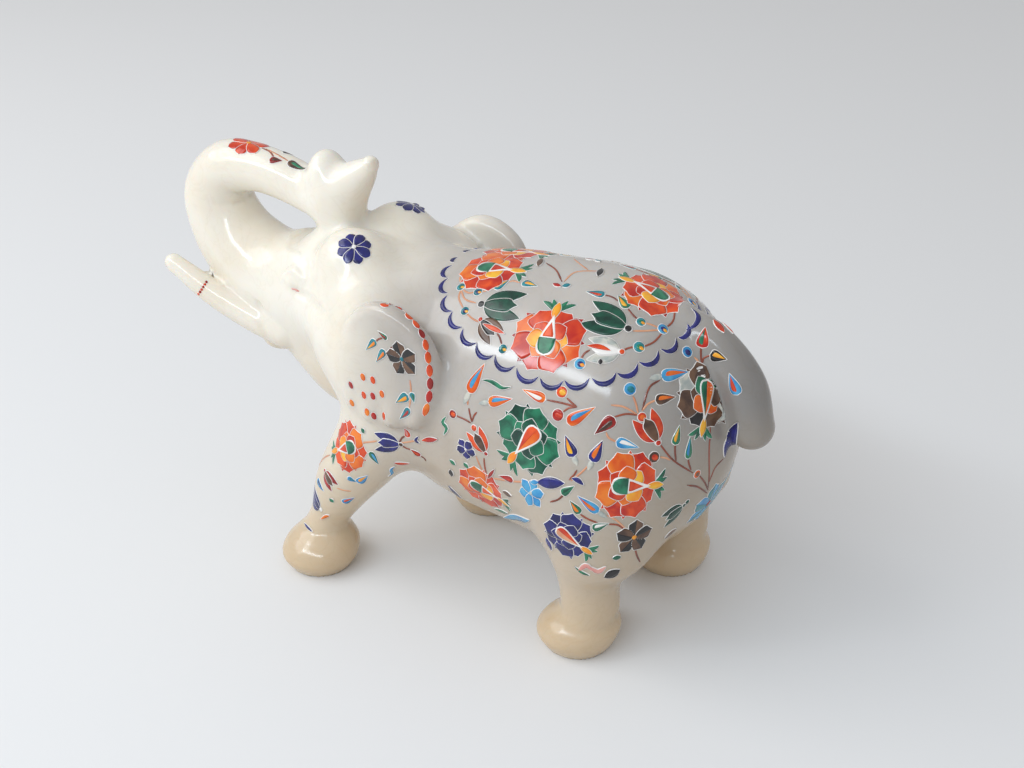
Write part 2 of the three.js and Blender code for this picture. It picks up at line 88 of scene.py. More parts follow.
# How wide the fillet is where each part joins the rest
FILLETS = dict(torso=14, neck=12, leg=7, head=8, lip=5, dome=5, trunk=7, tip_fork=2.5, tip=5, jowl=15,
               tusk=2, tail=4, eye=2, eyelid=1.2, crease=2.2, ear_root=14, ear=2.5)

# Finer carving, on the left and mirrored: eye and lid, the crease of the cheek, the fold at the tusk's root
EYE = dict(centre=(-63.8, -16.9, 88), radii=(2.9, 1.7, 1.9))
EYELID = ((-68, -16.6, 87.8, 0.7), (-64.6, -16.5, 91.4, 1.1), (-59.6, -17.5, 89.6, 0.8))
CHEEK_LINE = ((-62, -19, 85.6, 0.4), (-58, -20, 85.4, 0.8), (-51, -24, 85.2, 1.1), (-43, -29, 87, 1.1),
              (-33, -34, 89, 0.9), (-27, -37.5, 90.4, 0.4))
TUSK_COLLAR = ((-79.6, -15, 75.6, 0.3), (-78.6, -17.6, 73, 0.6), (-77.2, -18.8, 69.5, 0.7),
               (-75.8, -18.4, 65.5, 0.5))

# The grid that the marble's mesh is made from, how far its points may move as they settle, and how near
# the floor a point belongs to a sole
CELL = 1.9
CREASE_MOVE = 0.6
SOLE_BAND = 0.35

# The stones: how deep they go, how far they stand up, and by how much one layer covers another
STONE_DEPTH = 0.35
STONE_LIFT = 0.05
LAYER_STEP = 0.02
RIM = 0.19

# Which repeated stones are left out on the far side: above and inside the right ear, or off the marble
FAR_EAR_SIDE = 33
FAR_EAR_TOP = 86
FAR_MOVE = 6.0
LOOSE = 0.05

# The motifs that sit on the middle of the back, those on the thigh, and how their shift fades out upwards
SPINE_SIDE, SPINE_Z = -6, 85
THIGH_X, THIGH_Z = 15, 60
THIGH_FREE, THIGH_FADE = 50, 20


def smooth_min(a, b, k):
    """The union of two fields, with a fillet about k wide."""
    h = np.clip(0.5 + 0.5 * (b - a) / k, 0, 1)
    return b + (a - b) * h - k * h * (1 - h)


def turned(q, yaw=0.0, pitch=0.0):
    """Points seen from a frame turned by yaw about Z and then by pitch about Y, in degrees."""
    c, s = math.cos(math.radians(yaw)), math.sin(math.radians(yaw))
    x, y = c * q[:, 0] + s * q[:, 1], c * q[:, 1] - s * q[:, 0]
    c, s = math.cos(math.radians(pitch)), math.sin(math.radians(pitch))
    return np.stack([c * x - s * q[:, 2], y, s * x + c * q[:, 2]], 1)


def ellipsoid(p, centre, radii, pitch=0.0):
    q = turned(p - np.array(centre, float), 0, pitch)
    k0 = np.sqrt(((q / radii) ** 2).sum(1))
    k1 = np.sqrt(((q / np.square(radii)) ** 2).sum(1))
    return k0 * (k0 - 1) / np.maximum(k1, 1e-9)


def with_spare_ends(knots):
    k = np.array(knots, float)
    return np.vstack([2 * k[0] - k[1], k, 2 * k[-1] - k[-2]])


def on_spline(k, where):
    """The points at the places `where` along a spline; one knot before and one after are spare."""
    span = np.clip(np.asarray(where).astype(int), 0, len(k) - 4)
    t = (where - span)[:, None]
    a, b, c, d = k[span], k[span + 1], k[span + 2], k[span + 3]
    curve = (2 * a - 5 * b + 4 * c - d) * t * t + (3 * b - a - 3 * c + d) * t ** 3
    return 0.5 * (2 * b + (c - a) * t + curve)


def spline_slope(k, where):
    span = np.clip(where.astype(int), 0, len(k) - 4)
    t = (where - span)[:, None]
    a, b, c, d = k[span], k[span + 1], k[span + 2], k[span + 3]
    return 0.5 * ((c - a) + 2 * (2 * a - 5 * b + 4 * c - d) * t + 3 * (3 * b - a - 3 * c + d) * t * t)


def tube(p, knots, steps=4):
    """Distance to a round limb whose centre and radius follow a spline."""
    k = with_spare_ends(knots)
    spans = len(k) - 3
    posts = on_spline(k, np.arange(spans * steps + 1) / steps)[:, :3]
    best, where = np.full(len(p), 1e18), np.zeros(len(p))
    for n, (a, b) in enumerate(zip(posts[:-1], posts[1:])):
        t = np.clip((p - a) @ (b - a) / ((b - a) @ (b - a)), 0, 1)
        d = ((p - a - t[:, None] * (b - a)) ** 2).sum(1)
        closer = d < best
        best[closer] = d[closer]
        where[closer] = (n + t[closer]) / steps
    for _ in range(2):
        at, along = on_spline(k, where)[:, :3], spline_slope(k, where)[:, :3]
        where = np.clip(where + ((p - at) * along).sum(1) / (along ** 2).sum(1), 0, spans)
    at = on_spline(k, where)
    return np.sqrt(((p - at[:, :3]) ** 2).sum(1)) - at[:, 3]


def profile(x, rows):
    """A smooth curve through rows of (position, value), the same at all its ends."""
    xs, ys = np.array(rows, float).T
    slope = np.r_[ys[1] - ys[0], ys[2:] - ys[:-2], ys[-1] - ys[-2]]
    slope /= np.r_[xs[1] - xs[0], xs[2:] - xs[:-2], xs[-1] - xs[-2]]
    x = np.clip(x, xs[0], xs[-1])
    i = np.clip(np.searchsorted(xs, x) - 1, 0, len(xs) - 2)
    h = xs[i + 1] - xs[i]
    t = (x - xs[i]) / h
    ends = ys[i] * (1 + 2 * t) * (1 - t) ** 2 + ys[i + 1] * t * t * (3 - 2 * t)
    return ends + h * t * (1 - t) * (slope[i] * (1 - t) - slope[i + 1] * t)


def leg_rows(foot, ankle, knee, hip, shin=None):
    """Height, x, y and radius up a leg, from under the sole to inside the body."""
    rows = []
    for z, r in FOOT:
        share = min(1, max(0, (z - FOOT[2][0]) / (ANKLE_Z - FOOT[2][0])))
        rows.append((z, foot[0] + (ankle[0] - foot[0]) * share, foot[1] + (ankle[1] - foot[1]) * share, r))
    up = 6 / (KNEE_Z - ANKLE_Z)
    rows.append((ANKLE_Z, *ankle))
    if shin:
        rows.append((SHIN_Z, *shin))
    else:
        rows.append((ANKLE_Z + 6, ankle[0] + (knee[0] - ankle[0]) * up, ankle[1] + (knee[1] - ankle[1]) * up,
                     ankle[2] * 1.06))
    rows.append((KNEE_Z, *knee))
    rows.append((HIP_Z, *hip))
    rows.append((HIP_Z + 16, hip[0] + 1, hip[1] * 0.85, hip[2] * 0.75))
    rows.append((HIP_Z + 26, hip[0] + 2, hip[1] * 0.7, hip[2] * 0.2))
    return rows


LEG_ROWS = {name: leg_rows(**places) for name, places in LEGS.items()}


def leg_at(name, z):
    """A leg's middle and radius at each height."""
    return [profile(z, [(row[0], row[i]) for row in LEG_ROWS[name]]) for i in (1, 2, 3)]


def leg(p, name, steepness=0.85):
    x, y, r = leg_at(name, p[:, 2])
    low, high = LEG_ROWS[name][0][0], LEG_ROWS[name][-1][0]
    round_part = (np.hypot(p[:, 0] - x, p[:, 1] - y) - r) * steepness
    return np.maximum(round_part, np.maximum(p[:, 2] - high, low - p[:, 2]))


def closed_curve(points, steps):
    k = np.array(points, float)
    k = np.vstack([k[-1], k, k[0], k[1]])
    return on_spline(k, np.arange(len(points) * steps) / steps)


def polygon(u, v, outline):
    """Signed distance in the plane to a closed outline."""
    best, inside = np.full(len(u), 1e18), np.zeros(len(u), bool)
    for a, b in zip(outline, np.roll(outline, -1, axis=0)):
        ex, ey = b - a
        t = np.clip(((u - a[0]) * ex + (v - a[1]) * ey) / (ex * ex + ey * ey), 0, 1)
        best = np.minimum(best, (u - a[0] - t * ex) ** 2 + (v - a[1] - t * ey) ** 2)
        crosses = (a[1] <= v) != (b[1] <= v)
        inside ^= crosses & (u < a[0] + (v - a[1]) * ex / (ey if ey else 1e-9))
    return np.sqrt(best) * np.where(inside, -1, 1)


EAR_POLYGON = closed_curve(EAR_OUTLINE, 6)


def ear(q, centre, yaw):
    """A bowled slab with rounded edges, fluted along its lower edge."""
    q = turned(q - np.array(centre, float), yaw)
    d = np.sqrt((q ** 2).sum(1)) - EAR_REACH - 6
    near = d < 6
    u, w, v = q[near, 0], -q[near, 1], q[near, 2]
    bowl = 0.004 * (u + 6) ** 2 - 0.0036 * v * v
    flutes = 0.9 * np.sin(u * 2 * np.pi / FLUTE) * np.clip((-v - 8) / 10, 0, 1)
    edge = polygon(u, v, EAR_POLYGON) + EAR_HALF_THICKNESS - 0.5
    face = np.abs(w + bowl - flutes) - 0.5
    outside = np.hypot(np.maximum(edge, 0), np.maximum(face, 0))
    d[near] = outside + np.minimum(np.maximum(edge, face), 0) - EAR_HALF_THICKNESS + 0.5
    return d


def elephant(p):
    """Signed distance to the whole statue, one block of marble, without the floor's cut."""
    left = p * np.where(p[:, 1:2] > 0, [1.0, -1.0, 1.0], 1.0)
    body = ellipsoid(p, **BARREL)
    for mass in (RUMP, SHOULDERS):
        body = smooth_min(body, ellipsoid(p, **mass), FILLETS["torso"])
    body = smooth_min(body, ellipsoid(p, **NECK), FILLETS["neck"])
    for name in LEGS:
        body = smooth_min(body, leg(p, name), FILLETS["leg"])
    head = ellipsoid(p, **SKULL)
    for mass in (CHEEKS, THROAT):
        head = smooth_min(head, ellipsoid(p, **mass), FILLETS["head"])
    head = smooth_min(head, ellipsoid(p, **LOWER_LIP), FILLETS["lip"])
    head = smooth_min(head, ellipsoid(left, **DOME), FILLETS["dome"])
    head = smooth_min(head, tube(p, TRUNK), FILLETS["trunk"])
    tip = smooth_min(ellipsoid(p, **TIP_FRONT), tube(p, TIP_BACK), FILLETS["tip_fork"])
    head = smooth_min(head, tip, FILLETS["tip"])
    body = smooth_min(body, head, FILLETS["head"])
    body = smooth_min(body, ellipsoid(left, **JOWL), FILLETS["jowl"])
    body = smooth_min(body, tube(left, TUSK), FILLETS["tusk"])
    body = smooth_min(body, tube(p, TAIL), FILLETS["tail"])
    body = smooth_min(body, ellipsoid(left, **EYE), FILLETS["eye"])
    body = smooth_min(body, tube(left, EYELID, 3), FILLETS["eyelid"])
    for crease in (CHEEK_LINE, TUSK_COLLAR):
        body = -smooth_min(-body, tube(left, crease, 3), FILLETS["crease"])
    for side, place in ((-1, LEFT_EAR), (1, RIGHT_EAR)):
        here = p[:, 1] * side > 0
        q = left[here]
        root = ellipsoid(q, np.add(place["centre"], EAR_ROOT["offset"]), EAR_ROOT["radii"])
        rooted = smooth_min(body[here], root, FILLETS["ear_root"])
        body[here] = smooth_min(rooted, ear(q, **place), FILLETS["ear"])
    return body


def slope_at(p, h=0.05):
    """The field's value and slope at each point."""
    value = elephant(p)
    slope = np.stack([(elephant(p + h * axis) - value) / h for axis in np.eye(3)], 1)
    return value, slope


def settled(p, turns=2):
    """Points moved onto the surface along the field's slope, and the outward normal there."""
    p = p.copy()
    for _ in range(turns):
        value, slope = slope_at(p)
        squared = np.maximum((slope ** 2).sum(1), 0.2)
        p -= (np.clip(value, -1.5, 1.5) / squared)[:, None] * slope
    _, slope = slope_at(p)
    return p, slope / np.maximum(np.linalg.norm(slope, axis=1), 1e-9)[:, None]


BOUNDS = ((-120, -50, -5.5), (91, 48, 130))


def sampled():
    """The field on a grid, worked out in full only in the blocks that are near the surface."""
    block = 4
    low, high = np.array(BOUNDS, float)
    blocks = np.ceil((high - low) / (CELL * block)).astype(int)
    steps = [(np.arange(n) + 0.5) * block * CELL for n in blocks]
    middles = np.stack(np.meshgrid(*steps, indexing="ij"), -1)
    rough = elephant(middles.reshape(-1, 3) + low).reshape(blocks)
    near = np.argwhere(np.abs(rough) < 1.4 * math.sqrt(3) * block / 2 * CELL)
    values = np.repeat(np.repeat(np.repeat(rough, block, 0), block, 1), block, 2)
    inner = np.stack(np.meshgrid(*[np.arange(block)] * 3, indexing="ij"), -1).reshape(-1, 3)
    spots = (near[:, None] * block + inner[None]).reshape(-1, 3)
    values[tuple(spots.T)] = elephant(spots * CELL + low)
    return values, low


def skin():
    """A closed quad mesh: one point in each crossed cell, one quad over each crossed grid edge."""
    values, low = sampled()
    size = np.array(values.shape) - 1
    corners = np.array([(n & 1, n >> 1 & 1, n >> 2) for n in range(8)])
    at = [values[c[0]:c[0] + size[0], c[1]:c[1] + size[1], c[2]:c[2] + size[2]] for c in corners]
    total = np.zeros((*size, 3))
    hits = np.zeros(size)
    for a in range(8):
        for b in (a | 1, a | 2, a | 4):
            if b == a:
                continue
            crossed = (at[a] < 0) != (at[b] < 0)
            share = at[a][crossed] / (at[a][crossed] - at[b][crossed])
            total[crossed] += corners[a] + share[:, None] * (corners[b] - corners[a])
            hits[crossed] += 1
    active = hits > 0
    names = np.full(size, -1)
    names[active] = np.arange(active.sum())
    points = low + CELL * (np.argwhere(active) + total[active] / hits[active][:, None])
    quads = []
    for axis in range(3):
        u, v = np.eye(3, dtype=int)[(axis + 1) % 3], np.eye(3, dtype=int)[(axis + 2) % 3]
        inside = values < 0
        ahead = np.roll(inside, -1, axis)
        i = np.argwhere(inside != ahead)
        i = i[(i > 0).all(1) & (i < size).all(1)]
        ring = [names[tuple((i - a * u - b * v).T)] for a, b in ((0, 0), (1, 0), (1, 1), (0, 1))]
        ring = np.stack(ring, 1)
        turned_round = ~inside[tuple(i.T)]
        ring[turned_round] = ring[turned_round][:, ::-1]
        quads.append(ring)
    return points, np.vstack(quads)


def subdivided(points, quads):
    """Each quad becomes four."""
    edges = np.sort(np.stack([quads, np.roll(quads, -1, 1)], -1).reshape(-1, 2), 1)
    unique, which = np.unique(edges, axis=0, return_inverse=True)
    middle = which.reshape(-1, 4) + len(points)
    heart = np.arange(len(quads)) + len(points) + len(unique)
    more = np.vstack([points, points[unique].mean(1), points[quads].mean(1)])
    small = [np.stack([quads[:, n], middle[:, n], heart, middle[:, n - 1]], 1) for n in range(4)]
    return more, np.vstack(small)


def linked(name, data):
    piece = bpy.data.objects.new(name, data)
    bpy.context.scene.collection.objects.link(piece)
    return piece


def add_object(name, points, faces, material):
    """A smooth mesh from millimetre points in the working frame, riding with the statue."""
    mesh = bpy.data.meshes.new(name)
    mesh.from_pydata(((points + SHIFT) * MM).tolist(), [], [list(map(int, face)) for face in faces])
    mesh.polygons.foreach_set("use_smooth", [True] * len(mesh.polygons))
    mesh.materials.append(material)
    mesh.update()
    piece = linked(name, mesh)
    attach(piece, "root")
    return piece


# The camera: where it looks from and at, in the working frame
CAMERA = dict(azimuth=30.0, elevation=29.0, distance=440.0, target=(3.7, 0.0, 62.2), focal_px=1450.0)
WIDTH_PX, HEIGHT_PX = 1024, 768
SENSOR_MM = 36.0


def camera_axes():
    a, e = math.radians(CAMERA["azimuth"]), math.radians(CAMERA["elevation"])
    back = np.array([math.sin(a) * math.cos(e), -math.cos(a) * math.cos(e), math.sin(e)])
    right = np.array([math.cos(a), math.sin(a), 0.0])
    return back, right, np.cross(back, right)


def along_rays(origins, rays, reach=700.0):
    """Where rays first meet the marble, or the surface nearest to a ray that just misses it."""
    t = np.zeros(len(rays))
    best_t, best_d = t.copy(), np.full(len(rays), 1e9)
    for _ in range(90):
        d = elephant(origins + t[:, None] * rays)
        closer = (d < best_d) & (best_d > 0.02)
        best_t[closer], best_d[closer] = t[closer], d[closer]
        t = np.where(best_d > 0.02, t + np.maximum(d, 0.15) * 0.8, t)
        if (t > reach).all():
            break
    return settled(origins + best_t[:, None] * rays)


def cast(pixels):
    """The spots of the marble that the camera sees at these pixels, with their normals."""
    back, right, up = camera_axes()
    pixels = np.array(pixels, float)
    x = (pixels[:, 0:1] - WIDTH_PX / 2) / CAMERA["focal_px"]
    y = (HEIGHT_PX / 2 - pixels[:, 1:2]) / CAMERA["focal_px"]
    rays = -back + x * right + y * up
    rays /= np.linalg.norm(rays, axis=1)[:, None]
    origin = np.array(CAMERA["target"]) + back * CAMERA["distance"]
    start = CAMERA["distance"] - 170
    return along_rays(np.repeat(origin[None], len(rays), 0) + start * rays, rays)


known_spots = {}     # pixel -> (point, normal), filled for all the tables at once


def pixels_in(rows):
    """Every pixel named in a table: a pair of numbers, both over 100."""
    if isinstance(rows, dict):
        rows = tuple(rows.values())
    if not isinstance(rows, tuple):
        return []
    if len(rows) == 2 and all(isinstance(value, int) and value > 100 for value in rows):
        return [rows]
    return [pixel for row in rows for pixel in pixels_in(row)]


def learn(*tables):
    pixels = sorted(set(pixel for table in tables for pixel in pixels_in(table)))
    points, normals = cast(pixels)
    known_spots.update(zip(pixels, zip(points, normals)))


def seen_at(pixels):
    points, normals = zip(*[known_spots[pixel] for pixel in pixels])
    return np.array(points), np.array(normals)


# The inlay: outlines of a cut stone, half width over its largest, from one end (0) to the other (1)
def petal(t):
    return profile(t, ((0, 0.35), (0.2, 0.75), (0.5, 1), (0.74, 0.96), (0.86, 0.40), (1, 0)))


def lobe(t):
    return profile(t, ((0, 0.2), (0.3, 0.7), (0.65, 1), (0.88, 0.75), (1, 0.12)))


def drop(t):
    return 1.52 * t * np.sqrt(np.maximum(1 - t ** 5, 0)) / 1.05


def leaf(t):
    return 4 * t * (1 - t)


def bud(t):
    return np.maximum(1.45 * (1 - t) * np.sqrt(np.maximum(1 - (1 - t) ** 4, 0)), 0) / 0.95


def lozenge(t):
    return np.sqrt(np.maximum(1 - np.abs(2 * t - 1) ** 1.6, 0))


def oval(t):
    return np.sqrt(np.maximum(1 - (2 * t - 1) ** 2, 0))


def stem(t):
    return np.clip(8 * np.minimum(t, 1 - t), 0.45, 1)


def wedge(t):
    return np.clip(t * 1.2, 0.02, 1)


def round_end(t):
    return np.sqrt(np.maximum(1 - t ** 3, 0))


stones = []          # each stone's top as a grid of points, with its colour and its layer
waiting = []         # stems and chains, which need the surface's normal along their line


class Spot:
    """A place on the marble: a point, a normal, a direction in the surface, and how it is repeated."""

    def __init__(self, point, normal, towards, group=None):
        self.point, self.normal = point, normal
        self.group = group or group_at(point)
        ahead = towards - point
        ahead = ahead - normal * (ahead @ normal)
        self.u = ahead / max(np.linalg.norm(ahead), 1e-9)
        self.v = np.cross(normal, self.u)

    def place(self, flat):
        return self.point + flat[:, 0:1] * self.u + flat[:, 1:2] * self.v

    def across(self, flat):
        return flat[:, 0:1] * self.u + flat[:, 1:2] * self.v


def rows_for(length, width):
    return int(np.clip(length / 1.0 + 5, 6, 30)), int(np.clip(2 * width / 0.9 + 2, 3, 14))


def line_through(knots, t):
    knots = np.array(knots, float)
    if len(knots) == 2:
        return knots[0] + t[:, None] * (knots[1] - knots[0])
    return on_spline(with_spare_ends(knots), t * (len(knots) - 1))


def add_stone(centre, across, half, side, colour, layer, group, columns):
    s = np.linspace(side[0], side[1], columns)
    grid = centre[:, None] + across[:, None] * (half[:, None] * s[None])[..., None]
    stones.append(dict(grid=grid, colour=colour, layer=layer, group=group))


def cut(spot, knots, width, shape, colour, layer, side=(-1, 1), rim=RIM):
    """A stone on a line of knots in a spot's own flat frame, with the white edge of its bed under it."""
    knots = np.array(knots, float)
    length = np.linalg.norm(np.diff(knots, axis=0), axis=1).sum()
    rows, columns = rows_for(length, width)
    t = np.linspace(0, 1, rows)
    t = 0.5 * t + 0.25 * (1 - np.cos(np.pi * t))
    flat = line_through(knots, t)
    ahead = np.gradient(flat, axis=0)
    ahead /= np.maximum(np.linalg.norm(ahead, axis=1), 1e-9)[:, None]
    normal = np.stack([-ahead[:, 1], ahead[:, 0]], 1)
    across = spot.across(normal)
    half = width * shape(t)
    if rim:
        wide = flat + ahead * (rim * (2 * t - 1))[:, None]
        edge = half + rim * np.sin(np.pi * t) ** 0.3
        add_stone(spot.place(wide), across, edge, (-1, 1), "white", layer - 1, spot.group, columns)
    add_stone(spot.place(flat), across, half, side, colour, layer, spot.group, columns)


def trail(points, width, shape, colour, layer, rim=0.0, group="body"):
    """A stone along a line of spots on the marble, such as a stem. It is laid out once all are known."""
    knots = np.array(points, float)
    length = np.linalg.norm(np.diff(knots, axis=0), axis=1).sum()
    rows = int(np.clip(length / 1.1 + 4, 6, 60))
    t = np.linspace(0, 1, rows)
    waiting.append(dict(line=line_through(knots, t), half=width * shape(t), rim=rim,
                        columns=2 if width < 0.6 else 4, colour=colour, layer=layer, group=group))


def lay_trails():
    lines = np.vstack([item["line"] for item in waiting])
    points, normals = settled(lines)
    start = 0
    for item in waiting:
        stop = start + len(item["line"])
        p, n = points[start:stop], normals[start:stop]
        start = stop
        ahead = np.gradient(p, axis=0)
        across = np.cross(n, ahead)
        across /= np.maximum(np.linalg.norm(across, axis=1), 1e-9)[:, None]
        half, layer, group, columns = item["half"], item["layer"], item["group"], item["columns"]
        if item["rim"]:
            add_stone(p, across, half + item["rim"], (-1, 1), "white", layer - 1, group, columns)
        add_stone(p, across, half, (-1, 1), item["colour"], layer, group, columns)
    waiting.clear()


# A lotus flower's petals on one side: the angle from its axis, and the reach over its half length
LOTUS_PETALS = ((22, 0.98), (66, 1.02), (108, 1.0), (148, 0.84))
LOTUS_GAPS = (44, 87, 128)
LOTUS_INNER = ((30, 0.62), (78, 0.57), (126, 0.52))
LOTUS_SEPALS = ((0.16, 1.14), (0.36, 1.04))

# Layers of its pieces, from the marble up
GAP_LAYER, SEPAL_LAYER, OUTER_LAYER, INNER_LAYER, CUP_LAYER, DROP_LAYER, FILL_LAYER = 2, 3, 4, 8, 10, 12, 13

# Its stones: outer petals, petals in the gaps, inner petals, and the fill of the drop in the middle
PALETTES = dict(
    fire=dict(outer=("coral", "coral", "orange", "coral"), between="red",
              inner=("orange", "amber", "coral"), heart=("coral", "malachite"), halves=False),
    flame=dict(outer=("coral", "orange", "coral", "coral"), between="coral",
               inner=("coral", "orange", "amber"), heart=("coral", "malachite"), halves=False),
    green=dict(outer=("malachite", "malachite", "forest", "malachite"), between="forest",
               inner=("forest", "malachite", "forest"), heart=("orange", "coral"), halves=True),
    navy=dict(outer=("lapis",) * 4, between="lapis",
              inner=("lapis",) * 3, heart=("coral", "peach"), halves=True),
    shell=dict(outer=("onyx", "brown", "pearl", "brown"), between="brown",
               inner=("malachite", "brown", "orange"), heart=("orange", "malachite"), halves=True),
)


def lotus(spot, size, palette):
    """A flower seen from the side: rings of pointed petals round a white drop, sepals at its base."""
    look = PALETTES[palette]
    first, second = look["heart"]

    def piece(knots, width, shape, colour, layer, rim=0, side=1, part=(-1, 1)):
        knots = [(u * size, v * size * side) for u, v in knots]
        cut(spot, knots, width * size, shape, colour, layer, part, rim)

    def ray(degrees, near, far):
        c, s = math.cos(math.radians(degrees)), math.sin(math.radians(degrees))
        return (near * c, near * s), (far * c, far * s)

    for side in (-1, 1):
        for angle in LOTUS_GAPS:
            piece(ray(angle, 0.3, 1.0), 0.15, petal, look["between"], GAP_LAYER, 0.15, side)
        for n, (angle, reach) in enumerate(LOTUS_PETALS):
            turn = n + (side > 0)
            colour = look["outer"][turn % 4]
            piece(ray(angle, 0.25, reach), 0.36, petal, colour, OUTER_LAYER + 2 * (turn % 2), 0.18, side)
        for n, (angle, reach) in enumerate(LOTUS_INNER):
            layer = INNER_LAYER + 2 * ((n + (side > 0)) % 2)
            piece(ray(angle, 0.06, reach), 0.25, leaf, look["inner"][n], layer, 0.14, side)
        for lean, reach in LOTUS_SEPALS:
            knots = ((-0.74, 0.08), (-0.94, lean * 0.7), (-reach, lean * 1.3))
            piece(knots, 0.07, leaf, "malachite", SEPAL_LAYER, 0.12, side)
    piece(((-0.50, 0), (-1.04, 0)), 0.11, leaf, "amber", CUP_LAYER, 0.14)
    piece(((-0.62, 0), (0.50, 0)), 0.27, drop, "white", DROP_LAYER)
    if look["halves"]:
        for colour, part in ((first, (-1, 0)), (second, (0, 1))):
            piece(((-0.46, 0), (0.45, 0)), 0.22, drop, colour, FILL_LAYER, part=part)
    else:
        piece(((0.03, 0), (0.46, 0)), 0.23, round_end, second, FILL_LAYER)
        piece(((-0.40, 0), (0.0, 0)), 0.14, wedge, first, FILL_LAYER)


def blossom(spot, size, count, colour, heart, shape=petal, second=None, slim=0.36):
    """A flower seen from above: petals all round a small centre."""
    for n in range(count):
        a = 2 * math.pi * n / count
        c, s = math.cos(a), math.sin(a)
        knots = ((c * size * 0.1, s * size * 0.1), (c * size, s * size))
        width = slim * size * 5 / count
        layer = 7 if n == count - 1 and count % 2 else 3 + 2 * (n % 2)
        cut(spot, knots, width, shape, colour, layer)
        if second:
            cut(spot, knots, width, shape, second, layer + 1, side=(0, 1), rim=0)
    cut(spot, ((-0.12 * size, 0), (0.12 * size, 0)), 0.12 * size, oval, heart, 10, rim=0)


def two_tone(spot, length, width, colours, calyx):
    """A bud or leaf of two stones that meet along its middle. Its tip points along the spot's u."""
    cut(spot, ((-length / 2, 0), (length / 2, 0)), width, bud, colours[0], 3)
    if colours[1] != colours[0]:
        inner = ((-length * 0.36, 0), (length * 0.40, 0))
        cut(spot, inner, width * 0.62, bud, colours[1], 4, side=(-0.25, 1), rim=0)
    if calyx:
        cut(spot, ((-length * 0.92, 0), (-length * 0.38, 0)), width * 0.5, leaf, "pearl", 2, rim=0)


def eye_dot(spot, size, colours):
    """A round stone with a smaller one in it, and at times a third."""
    cut(spot, ((-size, 0), (size, 0)), size, oval, colours[0], 3)
    cut(spot, ((-size * 0.5, 0), (size * 0.8, 0)), size * 0.55, oval, colours[1], 4, rim=0)
    if len(colours) > 2:
        cut(spot, ((0, 0), (size, 0)), size * 0.35, leaf, colours[2], 5, rim=0)


def tulip(spot, length, colours):
    """A cup of three petals that opens along the spot's u, on a small round base."""
    def along(*knots):
        return [(u * length, v * length) for u, v in knots]

    for side in (-1, 1):
        outer = along((-0.48, 0), (-0.1, side * 0.20), (0.5, side * 0.34))
        cut(spot, outer, 0.19 * length, leaf, colours[0], 3)
    cut(spot, along((-0.45, 0), (0.36, 0)), 0.17 * length, petal, colours[1], 5, rim=0.2)
    cut(spot, along((-0.62, 0), (-0.46, 0)), 0.08 * length, oval, colours[2], 6)


# Where each motif sits: pixels of the photograph, read one by one, each with a real size in mm.
# Lotus flowers: the middle, a pixel towards the far end, half the length, palette
LOTUSES = dict(
    saddle_side=((548, 337), (541, 367), 11.0, "fire"),
    spine_front=((493, 268), (462, 267), 10.5, "flame"),
    spine_rear=((653, 291), (686, 304), 10.5, "fire"),
    flank=((528, 440), (552, 415), 10.2, "green"),
    thigh=((629, 486), (596, 484), 10.0, "flame"),
    knee=((568, 537), (547, 518), 8.2, "navy"),
    haunch=((706, 398), (708, 374), 10.5, "shell"),
    belly=((483, 489), (458, 475), 9.0, "flame"),
)
LEG_LOTUS = ((347, 448), (362, 445), 8.6, "flame")

# The scalloped edge of the saddle, one crescent at each spot
SCALLOPS = ((454, 260), (446, 272), (444, 287), (446, 305), (454, 322), (467, 339), (483, 353), (503, 365),
            (526, 377), (551, 384), (577, 384), (605, 380), (629, 372), (651, 360), (671, 347), (685, 333),
            (694, 319), (697, 307))
SCALLOP_HEART = (572, 312)
CRESCENT = ((-0.40, -1), (0.12, -0.60), (0.32, 0), (0.12, 0.60), (-0.40, 1))

# Two-tone buds and leaves: tip, base, half width in mm, the two colours, and True where it has a calyx
BUDS = (
    ((484, 365), (470, 391), 1.8, "orange", "sky", True),
    ((511, 399), (490, 402), 1.6, "orange", "sky", True),
    ((524, 390), (544, 399), 1.5, "orange", "white"), ((594, 408), (569, 422), 1.8, "orange", "sky"),
    ((687, 372), (663, 376), 1.8, "sky", "orange", True),
    ((674, 397), (657, 400), 1.5, "brown", "orange"), ((596, 433), (613, 419), 1.8, "red", "brown"),
    ((637, 447), (618, 442), 1.5, "sky", "white"), ((566, 437), (573, 455), 1.7, "lapis", "amber", True),
    ((602, 442), (593, 460), 1.7, "lapis", "orange", True),
    ((571, 502), (579, 512), 1.2, "malachite", "orange"),
    ((579, 497), (597, 511), 1.4, "sky", "orange", True),
    ((607, 524), (594, 528), 1.3, "malachite", "white"),
    ((679, 427), (675, 443), 1.3, "malachite", "amber"),
    ((690, 438), (688, 457), 1.2, "malachite", "sky"),
    ((705, 329), (702, 346), 1.8, "coral", "malachite"), ((725, 359), (712, 355), 1.7, "onyx", "amber"),
    ((730, 375), (737, 393), 1.7, "sky", "coral"), ((536, 286), (524, 283), 1.4, "teal", "amber"),
    ((588, 292), (603, 295), 1.4, "teal", "coral"), ((508, 281), (496, 288), 1.4, "teal", "amber"),
    ((619, 297), (627, 307), 1.5, "malachite", "amber"), ((500, 476), (512, 480), 1.0, "red", "coral"),
    ((573, 487), (563, 493), 1.2, "malachite", "forest"),
)

